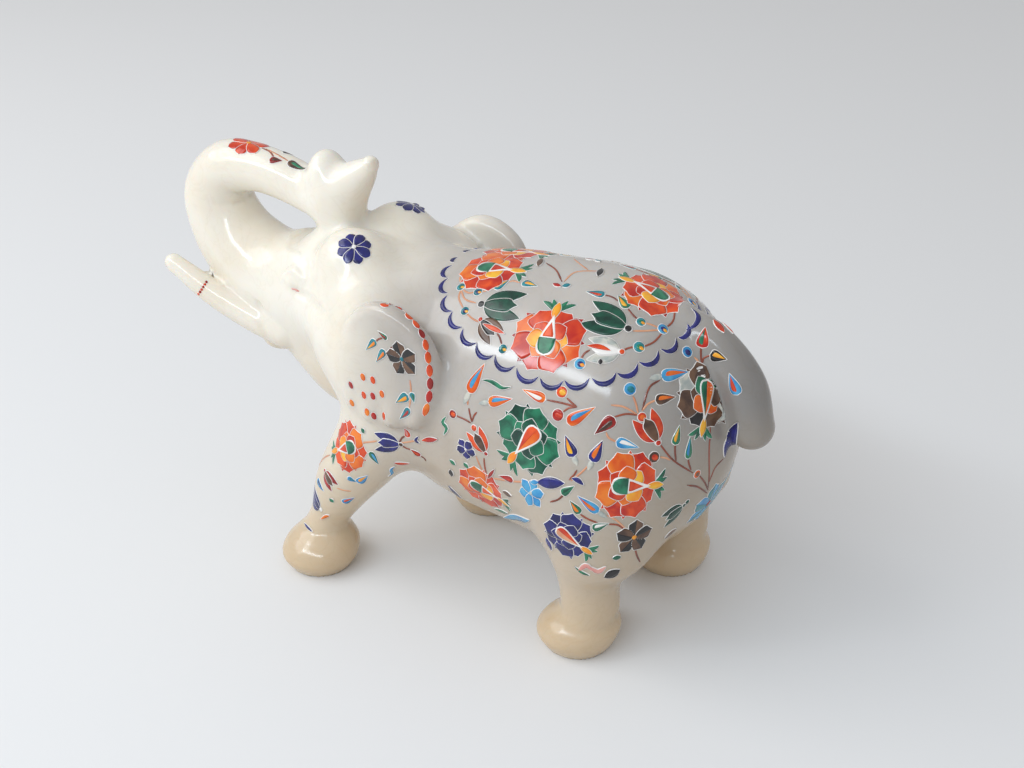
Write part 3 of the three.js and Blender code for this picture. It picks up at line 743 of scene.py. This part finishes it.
# Single leaves and strokes: a line of pixels, half width in mm, colour
STROKES = (
    (((482, 380), (490, 381), (496, 384), (503, 388), (512, 387)), 0.6, "malachite"),
    (((447, 416), (443, 422), (447, 428), (444, 435)), 0.6, "malachite"),
    (((565, 483), (537, 482)), 1.6, "lapis"), (((539, 482), (531, 482)), 0.7, "sky"),
    (((572, 478), (578, 480), (584, 485)), 0.7, "lapis"), (((495, 469), (488, 478)), 0.5, "red"),
    (((503, 491), (512, 496)), 0.9, "brown"), (((495, 508), (508, 513)), 0.9, "malachite"),
    (((504, 517), (530, 520)), 1.4, "sky"), (((449, 485), (462, 498)), 1.0, "lapis"),
    (((450, 459), (456, 465)), 0.8, "malachite"), (((464, 462), (469, 468)), 0.8, "malachite"),
    (((451, 469), (452, 476)), 0.8, "onyx"), (((738, 422), (731, 440), (724, 457)), 1.8, "lapis"),
    (((604, 577), (620, 569)), 1.6, "onyx"), (((612, 558), (621, 556)), 0.8, "malachite"),
    (((664, 538), (676, 528)), 1.2, "brown"), (((547, 537), (552, 550)), 1.0, "lapis"),
    (((713, 320), (724, 333)), 1.1, "coral"), (((722, 322), (733, 334)), 0.8, "coral"),
    (((538, 267), (542, 259)), 0.9, "brown"), (((598, 277), (602, 269)), 0.9, "onyx"),
    (((553, 284), (561, 287)), 0.7, "red"), (((562, 287), (571, 285)), 0.9, "teal"),
    (((483, 324), (494, 329), (505, 334)), 0.7, "coral"),
    (((587, 346), (599, 347), (611, 351)), 0.7, "coral"), (((601, 359), (600, 365)), 0.6, "onyx"),
    (((578, 571), (586, 565), (592, 570)), 0.8, "pink"),
    (((590, 566), (598, 571), (606, 566)), 0.8, "pink"),
    (((575, 566), (582, 572), (590, 575)), 0.5, "malachite"),
)

# Round stones: pixel, radius in mm, colours from the outside in
DOTS = (
    ((461, 287), 1.3, ("teal", "malachite", "amber")), ((478, 292), 1.3, ("teal", "lapis", "amber")),
    ((465, 311), 1.3, ("teal", "lapis", "amber")), ((503, 349), 1.3, ("teal", "malachite", "amber")),
    ((580, 364), 1.5, ("sky", "lapis", "amber")), ((639, 347), 1.5, ("teal", "malachite", "amber")),
    ((663, 329), 1.5, ("sky", "lapis", "amber")), ((641, 322), 1.3, ("teal", "malachite", "amber")),
    ((562, 392), 1.5, ("coral", "amber")), ((558, 415), 1.6, ("red", "coral")),
    ((630, 389), 1.6, ("sky", "teal")), ((687, 352), 1.5, ("sky", "lapis")),
    ((642, 417), 1.2, ("coral", "orange")), ((654, 457), 1.5, ("brown", "coral")),
    ((697, 474), 1.2, ("orange", "brown")), ((658, 442), 0.9, ("coral", "coral")),
    ((474, 428), 0.9, ("coral", "orange")), ((453, 414), 1.2, ("red", "coral")),
    ((481, 303), 0.8, ("onyx", "onyx")), ((629, 329), 0.8, ("onyx", "onyx")),
    ((687, 502), 0.8, ("forest", "forest")),
)

# Tulips: middle, a pixel towards its open end, length in mm, colours of the sides, the cup and the foot
TULIPS = (
    ((503, 305), (526, 306), 12.5, ("forest", "forest", "onyx")),
    ((606, 319), (586, 312), 12.5, ("forest", "forest", "onyx")),
    ((489, 329), (496, 337), 8.0, ("brown", "onyx", "coral")),
    ((604, 350), (590, 349), 9.0, ("pearl", "white", "coral")),
    ((650, 428), (642, 414), 9.0, ("coral", "brown", "coral")),
    ((479, 441), (473, 429), 7.5, ("coral", "brown", "red")),
    ((673, 514), (664, 521), 7.5, ("forest", "forest", "forest")),
)

# Round flowers: middle, a pixel towards one petal, radius in mm, petals, colour, second colour, centre
BLOSSOMS = (
    ((634, 537), (636, 525), 5.8, 5, "brown", "onyx", "amber"),
    ((531, 493), (516, 491), 4.6, 6, "sky", None, "pearl"),
    ((466, 449), (460, 440), 3.4, 5, "lapis", None, "white"),
    ((708, 503), (690, 520), 8.5, 6, "sky", "teal", "red"),
)

# Stems: lines of pixels for each colour, and the half width in mm
STEM_WIDTH = 0.27
STEMS = dict(
    rust=(
        ((567, 398), (571, 402), (577, 407)), ((547, 400), (562, 403), (577, 407)),
        ((563, 412), (569, 408), (577, 407)), ((660, 380), (649, 388), (642, 410)),
        ((614, 417), (626, 414), (638, 415)), ((658, 442), (673, 460), (693, 473)),
        ((699, 475), (705, 483), (708, 490)), ((675, 444), (675, 452), (676, 461)),
        ((688, 459), (689, 464), (691, 470)), ((710, 424), (709, 455), (708, 488)),
        ((723, 459), (715, 468), (709, 482)), ((687, 485), (698, 487), (707, 493)),
        ((577, 470), (574, 475), (569, 480)), ((469, 408), (470, 414), (472, 422)),
        ((477, 412), (474, 416), (472, 422)), ((455, 415), (464, 419), (471, 423)),
        ((484, 458), (485, 468), (488, 479)), ((580, 514), (588, 519), (598, 523)),
        ((608, 524), (618, 525), (626, 531)), ((550, 502), (559, 499), (567, 491)),
        ((635, 549), (637, 556), (640, 562)), ((497, 333), (500, 338), (502, 345)),
        ((604, 295), (612, 297), (618, 301)), ((628, 309), (632, 314), (638, 320)),
        ((662, 333), (654, 342), (643, 347)), ((635, 347), (629, 348), (622, 351)),
        ((667, 327), (673, 321), (675, 311)), ((590, 350), (584, 354), (581, 360)),
        ((546, 263), (556, 270), (562, 282)), ((701, 347), (701, 356), (702, 366)),
        ((711, 355), (704, 358), (702, 364)),
    ),
    peach=(
        ((611, 405), (624, 407), (638, 415)), ((633, 396), (636, 404), (638, 413)),
        ((656, 400), (648, 404), (642, 411)), ((617, 442), (609, 438), (606, 432)),
        ((660, 457), (666, 458), (670, 460)), ((590, 464), (582, 472), (571, 481)),
        ((530, 482), (510, 481), (490, 478)), ((472, 468), (480, 474), (487, 481)),
        ((476, 456), (481, 468), (487, 480)), ((607, 515), (616, 520), (625, 528)),
        ((461, 289), (465, 299), (476, 303)), ((461, 290), (459, 298), (463, 308)),
        ((463, 290), (469, 293), (475, 292)), ((482, 292), (489, 290), (495, 288)),
        ((509, 282), (514, 281), (520, 283)), ((467, 314), (473, 319), (479, 322)),
        ((461, 283), (460, 278), (463, 273)), ((645, 323), (652, 325), (659, 328)),
        ((633, 331), (645, 331), (659, 330)), ((598, 271), (576, 272), (564, 282)),
        ((574, 259), (580, 264), (588, 270)), ((694, 357), (698, 361), (701, 367)),
        ((470, 392), (468, 399), (468, 405)),
    ),
)

# On the left ear; its dots are ovals of this half length and half width in mm
EAR_DOT = (1.25, 0.85)
EAR_CHAIN = ((380, 304), (389, 305), (398, 307), (406, 313), (413, 320), (419, 329), (424, 339), (427, 351),
             (429, 364), (430, 377), (430, 390), (428, 403), (424, 416))
EAR_BLOSSOM = ((402, 359), (396, 339), 5.6, 5, "brown", "onyx", "teal")
EAR_BUDS = (
    ((367, 349), (375, 341), 1.2, "teal", "amber"), ((377, 361), (384, 351), 1.2, "teal", "orange"),
    ((379, 332), (386, 338), 0.9, "malachite", "red"), ((397, 402), (407, 396), 1.5, "teal", "amber"),
    ((414, 401), (412, 394), 1.0, "teal", "malachite"), ((401, 418), (409, 410), 1.2, "teal", "red"),
)
EAR_DOTS = ((363, 377), (373, 380), (351, 385), (364, 395), (373, 396), (382, 394), (352, 403), (367, 412),
            (374, 416), (384, 416))
EAR_STEMS = dict(
    rust=(
        ((375, 342), (379, 339), (383, 338)), ((388, 350), (394, 347), (396, 353)),
    ),
    peach=(
        ((410, 380), (411, 392), (409, 410)),
    ),
)

# On the left front leg
LEG_BUDS = (
    ((355, 481), (349, 478), 1.0, "sky", "teal"), ((367, 476), (359, 482), 1.5, "sky", "amber"),
    ((353, 498), (344, 502), 1.4, "sky", "coral"), ((323, 490), (318, 480), 1.2, "sky", "lapis"),
    ((378, 463), (371, 453), 1.1, "malachite", "sky"), ((412, 450), (419, 455), 1.1, "red", "coral"),
    ((405, 429), (408, 436), 1.0, "coral", "pink"),
)
LEG_TULIPS = (
    ((387, 443), (379, 442), 8.0, ("lapis", "lapis", "brown")),
    ((329, 480), (335, 488), 6.5, ("red", "brown", "coral")),
    ((315, 499), (311, 491), 8.5, ("lapis", "lapis", "white")),
)
LEG_STROKES = (
    (((422, 440), (438, 439)), 0.8, "coral"), (((419, 436), (416, 440), (420, 443)), 0.5, "lapis"),
    (((394, 462), (401, 463), (410, 463)), 0.8, "coral"),
    (((395, 466), (391, 469), (392, 473), (388, 476)), 0.5, "sky"),
    (((362, 428), (365, 433)), 0.7, "malachite"), (((330, 498), (334, 502)), 0.8, "malachite"),
    (((321, 519), (326, 516), (330, 515)), 0.5, "orange"),
    (((305, 523), (309, 528), (313, 532)), 0.4, "lapis"),
)
LEG_STEMS = dict(
    rust=(
        ((399, 443), (402, 438), (405, 436)), ((400, 444), (406, 448), (412, 450)),
        ((418, 455), (424, 458), (426, 461)),
    ),
    peach=(
        ((361, 443), (369, 442), (377, 441)), ((399, 443), (408, 442), (418, 440)),
        ((319, 465), (324, 458), (330, 455)), ((337, 488), (343, 490), (351, 491)),
    ),
)

# On the head and trunk
DOME_BLOSSOM = ((354, 247), (371, 244), 5.6, 8, "lapis", "white", 0.47)
FAR_DOME_BLOSSOM = ((403, 206), (417, 207), 5.6, 8, "lapis", "white", 0.47)
FAR_DOME_MOVE = (1.0, 4.0, 0.0)
TRUNK_BLOSSOM = ((249, 143), (270, 147), 6.8, 7, "coral", "amber", 0.42)
TRUNK_BUDS = (
    ((281, 161), (271, 160), 1.3, "red", "brown"), ((292, 155), (284, 152), 1.3, "onyx", "brown"),
    ((305, 169), (289, 162), 1.5, "brown", "malachite"),
)
TRUNK_STEMS = dict(
    rust=(
        ((262, 148), (270, 152), (274, 158)),
    ),
    peach=(
        ((266, 149), (278, 155), (288, 161)),
    ),
)
TUSK_BAND = ((207, 281), (204, 286), (201, 291), (198, 295))
EYE_LINE = ((291, 288), (296, 290), (300, 292))


# Laying everything out
def spots_at(pairs, group=None):
    """A Spot for each pair of pixels: where it is, and a pixel that it points to."""
    points, normals = seen_at([pixel for pair in pairs for pixel in pair])
    return [Spot(points[n], normals[n], points[n + 1], group) for n in range(0, len(points), 2)]


def group_at(point):
    """Which way a motif is repeated on the far side. One on the back's middle line isn't repeated."""
    if point[1] > SPINE_SIDE and point[2] > SPINE_Z:
        return "once"
    return "thigh" if point[2] < THIGH_Z and point[0] > THIGH_X else "body"


def lay_lotuses():
    for rows, group in ((tuple(LOTUSES.values()), None), ((LEG_LOTUS,), "leg")):
        for row, spot in zip(rows, spots_at([row[:2] for row in rows], group)):
            lotus(spot, *row[2:])


def lay_buds():
    for rows, group in ((BUDS, None), (EAR_BUDS, "ear"), (LEG_BUDS, "leg"), (TRUNK_BUDS, "once")):
        points, normals = seen_at([pixel for row in rows for pixel in row[:2]])
        for n, (_, _, width, *colours) in enumerate(rows):
            tip, base = points[2 * n], points[2 * n + 1]
            normal = normals[2 * n] + normals[2 * n + 1]
            spot = Spot((tip + base) / 2, normal / np.linalg.norm(normal), tip, group)
            two_tone(spot, np.linalg.norm(tip - base) + 1.0, width, colours, len(colours) > 2)


def lay_strokes():
    for rows, group in ((STROKES, None), (LEG_STROKES, "leg")):
        for knots, width, colour in rows:
            points, _ = seen_at(knots)
            trail(points, width, leaf, colour, 12, 0.15, group or group_at(points[0]))
    for rows, group in ((STEMS, None), (EAR_STEMS, "ear"), (LEG_STEMS, "leg"), (TRUNK_STEMS, "once")):
        for colour, lines in rows.items():
            for knots in lines:
                points, _ = seen_at(knots)
                trail(points, STEM_WIDTH, stem, colour, 1, 0, group or group_at(points[0]))


def lay_dots():
    for pixel, size, colours in DOTS:
        points, normals = seen_at([pixel])
        eye_dot(Spot(points[0], normals[0], points[0] + np.array([5.0, 0, -1.0])), size, colours)
    for pixel in EAR_DOTS:
        points, normals = seen_at([pixel])
        spot = Spot(points[0], normals[0], points[0] + np.array([-1.0, 0, 5.0]), "ear")
        colour = ("coral", "red", "orange")[(pixel[0] + pixel[1]) % 3]
        cut(spot, ((-EAR_DOT[0], 0), (EAR_DOT[0], 0)), EAR_DOT[1], oval, colour, 3, rim=0.12)


def lay_tulips():
    for rows, group in ((TULIPS, None), (LEG_TULIPS, "leg")):
        for row, spot in zip(rows, spots_at([row[:2] for row in rows], group)):
            tulip(spot, *row[2:])


def lay_blossoms():
    """Each row ends with its stones: the petals, half of each petal or nothing, and the centre."""
    for rows, group in ((BLOSSOMS, None), ((EAR_BLOSSOM,), "ear")):
        for row, spot in zip(rows, spots_at([row[:2] for row in rows], group)):
            _, _, size, count, colour, second, heart = row
            blossom(spot, size, count, colour, heart, second=second)
    rows = (DOME_BLOSSOM, FAR_DOME_BLOSSOM, TRUNK_BLOSSOM)
    for row, spot in zip(rows, spots_at([row[:2] for row in rows], "once")):
        if row is FAR_DOME_BLOSSOM:
            spot.point = spot.point + np.array(FAR_DOME_MOVE)
        blossom(spot, *row[2:6], lobe, slim=row[6])


def lay_scallops():
    """Crescents round the saddle, each bulging away from its middle."""
    points, normals = seen_at([*SCALLOPS, SCALLOP_HEART])
    heart = points[-1]
    for n, point in enumerate(points[:-1]):
        along = points[min(n + 1, len(SCALLOPS) - 1)] - points[max(n - 1, 0)]
        out = point - heart
        out = out - normals[n] * (out @ normals[n]) - along * (out @ along) / (along @ along)
        spot = Spot(point, normals[n], point + out, "once" if point[1] > -3 else "body")
        spot.u = out / np.linalg.norm(out)
        spot.v = np.cross(normals[n], spot.u)
        half = 0.235 * np.linalg.norm(along)
        knots = [(u * half, v * half) for u, v in CRESCENT]
        cut(spot, knots, 0.75, leaf, "lapis", 4, rim=0.08)


def lay_chains():
    """The ear's band of pointed lozenges, end to end, the band round the tusk, and the line at the eye."""
    points, _ = seen_at(EAR_CHAIN)
    line = line_through(points, np.linspace(0, 1, 4 * (len(points) - 1) + 1))
    for n in range(len(points) - 1):
        colour = ("coral", "red", "coral", "orange")[n % 4]
        trail(line[4 * n:4 * n + 5], 0.95, lozenge, colour, 4, 0.15, "ear")
    points, _ = seen_at(TUSK_BAND)
    for here, there in zip(points[:-1], points[1:]):
        step = 0.22 * (there - here)
        for share, colour in ((0.2, "red"), (0.7, "coral")):
            middle = here + share * (there - here)
            trail((middle - step, middle + step), 0.42, oval, colour, 3)
    points, _ = seen_at(EYE_LINE)
    trail(points, 0.5, leaf, "pink", 2)


# How the legs' motifs are repeated: from the near leg to the far one
FAR_LEGS = dict(leg=("front_left", "front_right"), thigh=("hind_left", "hind_right"))


def on_far_side(p, group):
    """The same place on the far side of the statue: its ear and legs stand elsewhere."""
    q = p * np.array([1.0, -1.0, 1.0])
    if group == "ear":
        q += (np.array(RIGHT_EAR["centre"]) - LEFT_EAR["centre"]) * [1, 0, 1]
    if group in FAR_LEGS:
        near, far = FAR_LEGS[group]
        here, there = leg_at(near, p[:, 2])[:2], leg_at(far, p[:, 2])[:2]
        share = 1.0 if group == "leg" else np.clip((THIGH_FREE - p[:, 2]) / THIGH_FADE, 0, 1)
        q[:, 0] += share * (there[0] - here[0])
        q[:, 1] += share * (there[1] + here[1])
    return q


def with_repeats():
    """The stones of both sides. The right ear has only the lower, outer part of its inlay."""
    laid = []
    for stone in stones:
        laid.append(stone)
        if stone["group"] == "once":
            continue
        grid = stone["grid"]
        other = on_far_side(grid.reshape(-1, 3), stone["group"]).reshape(grid.shape)
        low_and_out = other[..., 1].min() > FAR_EAR_SIDE and other[..., 2].max() < FAR_EAR_TOP
        if stone["group"] != "ear" or low_and_out:
            laid.append(dict(stone, grid=other, far=True))
    return laid


def slip(p, n, rows, columns, layer):
    """A closed slip on a grid of points: its top a little above the marble, two edges deep in it."""
    grid = np.arange(rows * columns).reshape(rows, columns)
    top = p + n * (STONE_LIFT + LAYER_STEP * layer)
    a, b, c = p[grid[rows // 2, 0]], p[grid[rows // 2, -1]], p[grid[rows // 2 - 1, 0]]
    outward = np.cross(b - a, c - a) @ n[grid[rows // 2, 0]] > 0
    sides = np.array([grid[:, 0], grid[:, -1]]).ravel()
    deep = p[sides] - n[sides] * STONE_DEPTH
    left, right = np.arange(2 * rows).reshape(2, rows) + rows * columns
    faces = [[grid[i, j], grid[i, j + 1], grid[i - 1, j + 1], grid[i - 1, j]]
             for i in range(1, rows) for j in range(columns - 1)]
    for i in range(1, rows):
        faces.append([grid[i - 1, 0], left[i - 1], left[i], grid[i, 0]])
        faces.append([grid[i, -1], right[i], right[i - 1], grid[i - 1, -1]])
        faces.append([left[i - 1], right[i - 1], right[i], left[i]])
    faces.append([*grid[0, ::-1], left[0], right[0]])
    faces.append([*grid[-1], right[-1], left[-1]])
    return np.vstack([top, deep]), faces if outward else [face[::-1] for face in faces]


def stone_meshes():
    """Every stone as a closed slip, level with the marble: colour -> (points, faces)."""
    laid = with_repeats()
    points, normals = settled(np.vstack([stone["grid"].reshape(-1, 3) for stone in laid]))
    off = np.abs(elephant(points))
    meshes, start = {}, 0
    for stone in laid:
        rows, columns = stone["grid"].shape[:2]
        here = slice(start, start + rows * columns)
        start = here.stop
        moved = np.linalg.norm(points[here] - stone["grid"].reshape(-1, 3), axis=1).max()
        if stone.get("far") and (off[here].max() > LOOSE or moved > FAR_MOVE):
            continue
        corners, faces = slip(points[here], normals[here], rows, columns, stone["layer"])
        all_corners, all_faces = meshes.setdefault(stone["colour"], ([], []))
        count = sum(map(len, all_corners))
        all_corners.append(corners)
        all_faces.extend([[int(k) + count for k in face] for face in faces])
    return {colour: (np.vstack(corners), faces) for colour, (corners, faces) in meshes.items()}


# Materials: two shades of each stone, in linear light, and how coarse its mottling is
STONES = dict(
    coral=((0.46, 0.012, 0.004), (0.78, 0.085, 0.008), 170),
    red=((0.20, 0.005, 0.004), (0.44, 0.014, 0.008), 220),
    orange=((0.82, 0.20, 0.012), (0.66, 0.06, 0.006), 170),
    amber=((0.88, 0.48, 0.03), (0.84, 0.24, 0.012), 200),
    malachite=((0.004, 0.085, 0.045), (0.02, 0.22, 0.11), 260),
    forest=((0.002, 0.03, 0.02), (0.006, 0.09, 0.05), 260),
    lapis=((0.008, 0.009, 0.080), (0.020, 0.022, 0.19), 300),
    sky=((0.02, 0.22, 0.50), (0.08, 0.38, 0.62), 240),
    teal=((0.004, 0.13, 0.17), (0.02, 0.26, 0.30), 300),
    brown=((0.06, 0.028, 0.018), (0.17, 0.085, 0.045), 220),
    onyx=((0.006, 0.006, 0.006), (0.02, 0.018, 0.02), 300),
    pearl=((0.36, 0.40, 0.38), (0.62, 0.60, 0.52), 420),
    white=((0.80, 0.76, 0.72), (0.88, 0.85, 0.81), 120),
    pink=((0.66, 0.22, 0.20), (0.76, 0.38, 0.32), 260),
    peach=((0.62, 0.26, 0.14), (0.74, 0.38, 0.22), 120),
    rust=((0.16, 0.04, 0.025), (0.34, 0.08, 0.04), 150),
)


# The marble's tones, partly painted light and shade: along the head (lighter, partly painted light) and the
# back (darker, partly painted shade), then behind (darker grey, partly painted shade), low on the legs, and
# the veins over all
HEAD_TONES_AND_LIGHT = ((0.30, (0.80, 0.72, 0.59)), (0.70, (0.86, 0.82, 0.73)))
BACK_TONES_AND_SHADE = ((0.30, (0.42, 0.375, 0.33)), (0.52, (0.50, 0.46, 0.42)), (0.75, (0.55, 0.52, 0.48)))
# The rear's darker grey is partly the stone's own grey and partly painted shade where the light falls off.
REAR_TONE_AND_SHADE, LEG_TONE = (0.25, 0.235, 0.22), (0.60, 0.46, 0.30)
VEIN_TONES = ((0.47, (1.0, 1.0, 1.0)), (0.50, (0.97, 0.962, 0.95)), (0.53, (1.0, 1.0, 1.0)))

# Where one tone passes into the next, in metres along X or down Z
NECK_X, RUMP_X, LEG_Z = (-0.02, 0.005), (0.058, 0.094), (0.080, 0.005)


def nodes_of(name):
    material = bpy.data.materials.new(name)
    material.use_nodes = True
    tree = material.node_tree
    return material, tree, tree.nodes["Principled BSDF"]


def noise(tree, scale, detail=3.0, distortion=0.0):
    place = tree.nodes.new("ShaderNodeTexCoord")
    texture = tree.nodes.new("ShaderNodeTexNoise")
    texture.inputs["Scale"].default_value = scale
    texture.inputs["Detail"].default_value = detail
    texture.inputs["Distortion"].default_value = distortion
    tree.links.new(place.outputs["Object"], texture.inputs["Vector"])
    return texture.outputs["Fac"]


def ramp(tree, source, stops):
    node = tree.nodes.new("ShaderNodeValToRGB")
    line = node.color_ramp
    while len(line.elements) < len(stops):
        line.elements.new(0.5)
    for element, (at, colour) in zip(line.elements, stops):
        element.position = at
        element.color = (*colour, 1.0)
    tree.links.new(source, node.inputs["Fac"])
    return node.outputs["Color"]


def blended(tree, share, first, second, way="MIX"):
    node = tree.nodes.new("ShaderNodeMix")
    node.data_type, node.blend_type = "RGBA", way
    for socket, value in ((node.inputs[0], share), (node.inputs[6], first), (node.inputs[7], second)):
        if hasattr(value, "is_output"):
            tree.links.new(value, socket)
        elif isinstance(value, tuple):
            socket.default_value = (*value, 1.0)
        else:
            socket.default_value = value
    return node.outputs[2]


def stone_material(name):
    dark, light, scale = STONES[name]
    material, tree, shader = nodes_of("stone_" + name)
    colour = ramp(tree, noise(tree, scale, 4.0, 0.6), ((0.36, dark), (0.64, light)))
    tree.links.new(colour, shader.inputs["Base Color"])
    shader.inputs["Roughness"].default_value = 0.16
    shader.inputs["IOR"].default_value = 1.55
    return material


def passing(tree, source, ends):
    """0 before the first end and 1 after the second."""
    node = tree.nodes.new("ShaderNodeMapRange")
    node.inputs["From Min"].default_value, node.inputs["From Max"].default_value = ends
    tree.links.new(source, node.inputs["Value"])
    return node.outputs["Result"]


def marble_material():
    """Cream marble, warmer and yellower on the head and legs than on the back, with faint clouds. The head's
    lightness is partly painted light; the back's and the rear's darkness is partly painted shade.
    """
    material, tree, shader = nodes_of("polished_marble")
    place = tree.nodes.new("ShaderNodeTexCoord")
    parts = tree.nodes.new("ShaderNodeSeparateXYZ")
    tree.links.new(place.outputs["Object"], parts.inputs["Vector"])
    # The back's darker tones are partly painted shade, the head's lighter ones partly painted light.
    back = ramp(tree, noise(tree, 26, 5.0, 0.8), BACK_TONES_AND_SHADE)
    head = ramp(tree, noise(tree, 34, 4.0, 0.5), HEAD_TONES_AND_LIGHT)
    body = blended(tree, passing(tree, parts.outputs["X"], NECK_X), head, back)
    # Towards the rear the marble is painted darker grey, partly the stone's grey and partly painted shade.
    body = blended(tree, passing(tree, parts.outputs["X"], RUMP_X), body, REAR_TONE_AND_SHADE)
    body = blended(tree, passing(tree, parts.outputs["Z"], LEG_Z), body, LEG_TONE)
    veins = ramp(tree, noise(tree, 60, 8.0, 3.0), VEIN_TONES)
    body = blended(tree, 1.0, body, veins, "MULTIPLY")
    tree.links.new(body, shader.inputs["Base Color"])
    shader.inputs["Roughness"].default_value = 0.14
    shader.inputs["Subsurface Weight"].default_value = 0.35
    shader.inputs["Subsurface Radius"].default_value = (1.0, 0.7, 0.45)
    shader.inputs["Subsurface Scale"].default_value = 0.004
    shader.inputs["IOR"].default_value = 1.5
    return material


# The pieces
def carve_statue():
    """The marble, with flat soles. A point at a crease that would move too far as it settles stays put."""
    points, quads = subdivided(*skin())
    level, _ = settled(points, 3)
    steady = np.linalg.norm(level - points, axis=1) < CREASE_MOVE
    points[steady] = level[steady]
    points[np.abs(points[:, 2]) < SOLE_BAND, 2] = 0.0
    points[:, 2] = np.maximum(points[:, 2], 0.0)
    statue = add_object("carved_marble", points, quads, marble_material())
    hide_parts("marble_elephant")


def lay_inlay():
    """One object for each colour of stone."""
    learn(LOTUSES, LEG_LOTUS, SCALLOPS, (SCALLOP_HEART,), BUDS, STROKES, DOTS, TULIPS, BLOSSOMS, STEMS)
    learn(EAR_CHAIN, EAR_BLOSSOM, EAR_BUDS, EAR_DOTS, EAR_STEMS)
    learn(LEG_BUDS, LEG_TULIPS, LEG_STROKES, LEG_STEMS, TRUNK_BLOSSOM, TRUNK_BUDS, TRUNK_STEMS)
    learn(DOME_BLOSSOM, FAR_DOME_BLOSSOM, TUSK_BAND, EYE_LINE)
    for lay in (lay_lotuses, lay_buds, lay_strokes, lay_dots, lay_tulips, lay_blossoms, lay_scallops,
                lay_chains, lay_trails):
        lay()
    for colour, (points, faces) in stone_meshes().items():
        piece = add_object("inlay_" + colour, points, faces, stone_material(colour))


# The setting: floor, light and camera, in metres and watts
FLOOR_REACH = 6.0
FLOOR_GREY = (0.79, 0.79, 0.79)
SKY_COLOUR, SKY_STRENGTH = (0.985, 0.99, 1.0), 0.56
KEY = dict(position=(-0.80, -0.40, 0.85), target=(-0.03, 0, 0.07), size=(0.9, 0.8), power=5.2)
WINDOW = dict(position=(-0.10, -0.74, 0.70), target=(0.055, -0.03, 0.088), size=(1.15, 0.12), power=4.6,
              colour=(0.80, 0.90, 1.0))


def floor_and_light():
    mesh = bpy.data.meshes.new("floor")
    r = FLOOR_REACH
    mesh.from_pydata([(-r, -r, 0), (r, -r, 0), (r, r, 0), (-r, r, 0)], [], [(0, 1, 2, 3)])
    floor = linked("floor", mesh)
    material, _, shader = nodes_of("pale_floor")
    shader.inputs["Base Color"].default_value = (*FLOOR_GREY, 1.0)
    shader.inputs["Roughness"].default_value = 0.75
    mesh.materials.append(material)
    world = bpy.data.worlds.new("studio")
    world.use_nodes = True
    sky = world.node_tree.nodes["Background"]
    sky.inputs["Color"].default_value = (*SKY_COLOUR, 1.0)
    sky.inputs["Strength"].default_value = SKY_STRENGTH
    bpy.context.scene.world = world


def area_light(name, position, target, size, power, colour=(1.0, 1.0, 1.0)):
    light = bpy.data.lights.new(name, "AREA")
    light.shape = "RECTANGLE"
    light.size, light.size_y = size
    light.energy = power
    light.color = colour
    lamp = linked(name, light)
    lamp.location = position
    lamp.rotation_euler = (Vector(position) - Vector(target)).to_track_quat("Z", "Y").to_euler()


def camera():
    back = camera_axes()[0]
    place = (np.array(CAMERA["target"]) + back * CAMERA["distance"] + SHIFT) * MM
    data = bpy.data.cameras.new("camera")
    data.sensor_width = SENSOR_MM
    data.lens = CAMERA["focal_px"] * SENSOR_MM / WIDTH_PX
    data.clip_start = 0.01
    piece = linked("camera", data)
    piece.location = place
    piece.rotation_euler = Vector(back).to_track_quat("Z", "Y").to_euler()
    bpy.context.scene.camera = piece


carve_statue()
lay_inlay()
floor_and_light()
area_light("key", **KEY)
area_light("window", **WINDOW)
camera()
bpy.context.scene.view_settings.view_transform = "Standard"
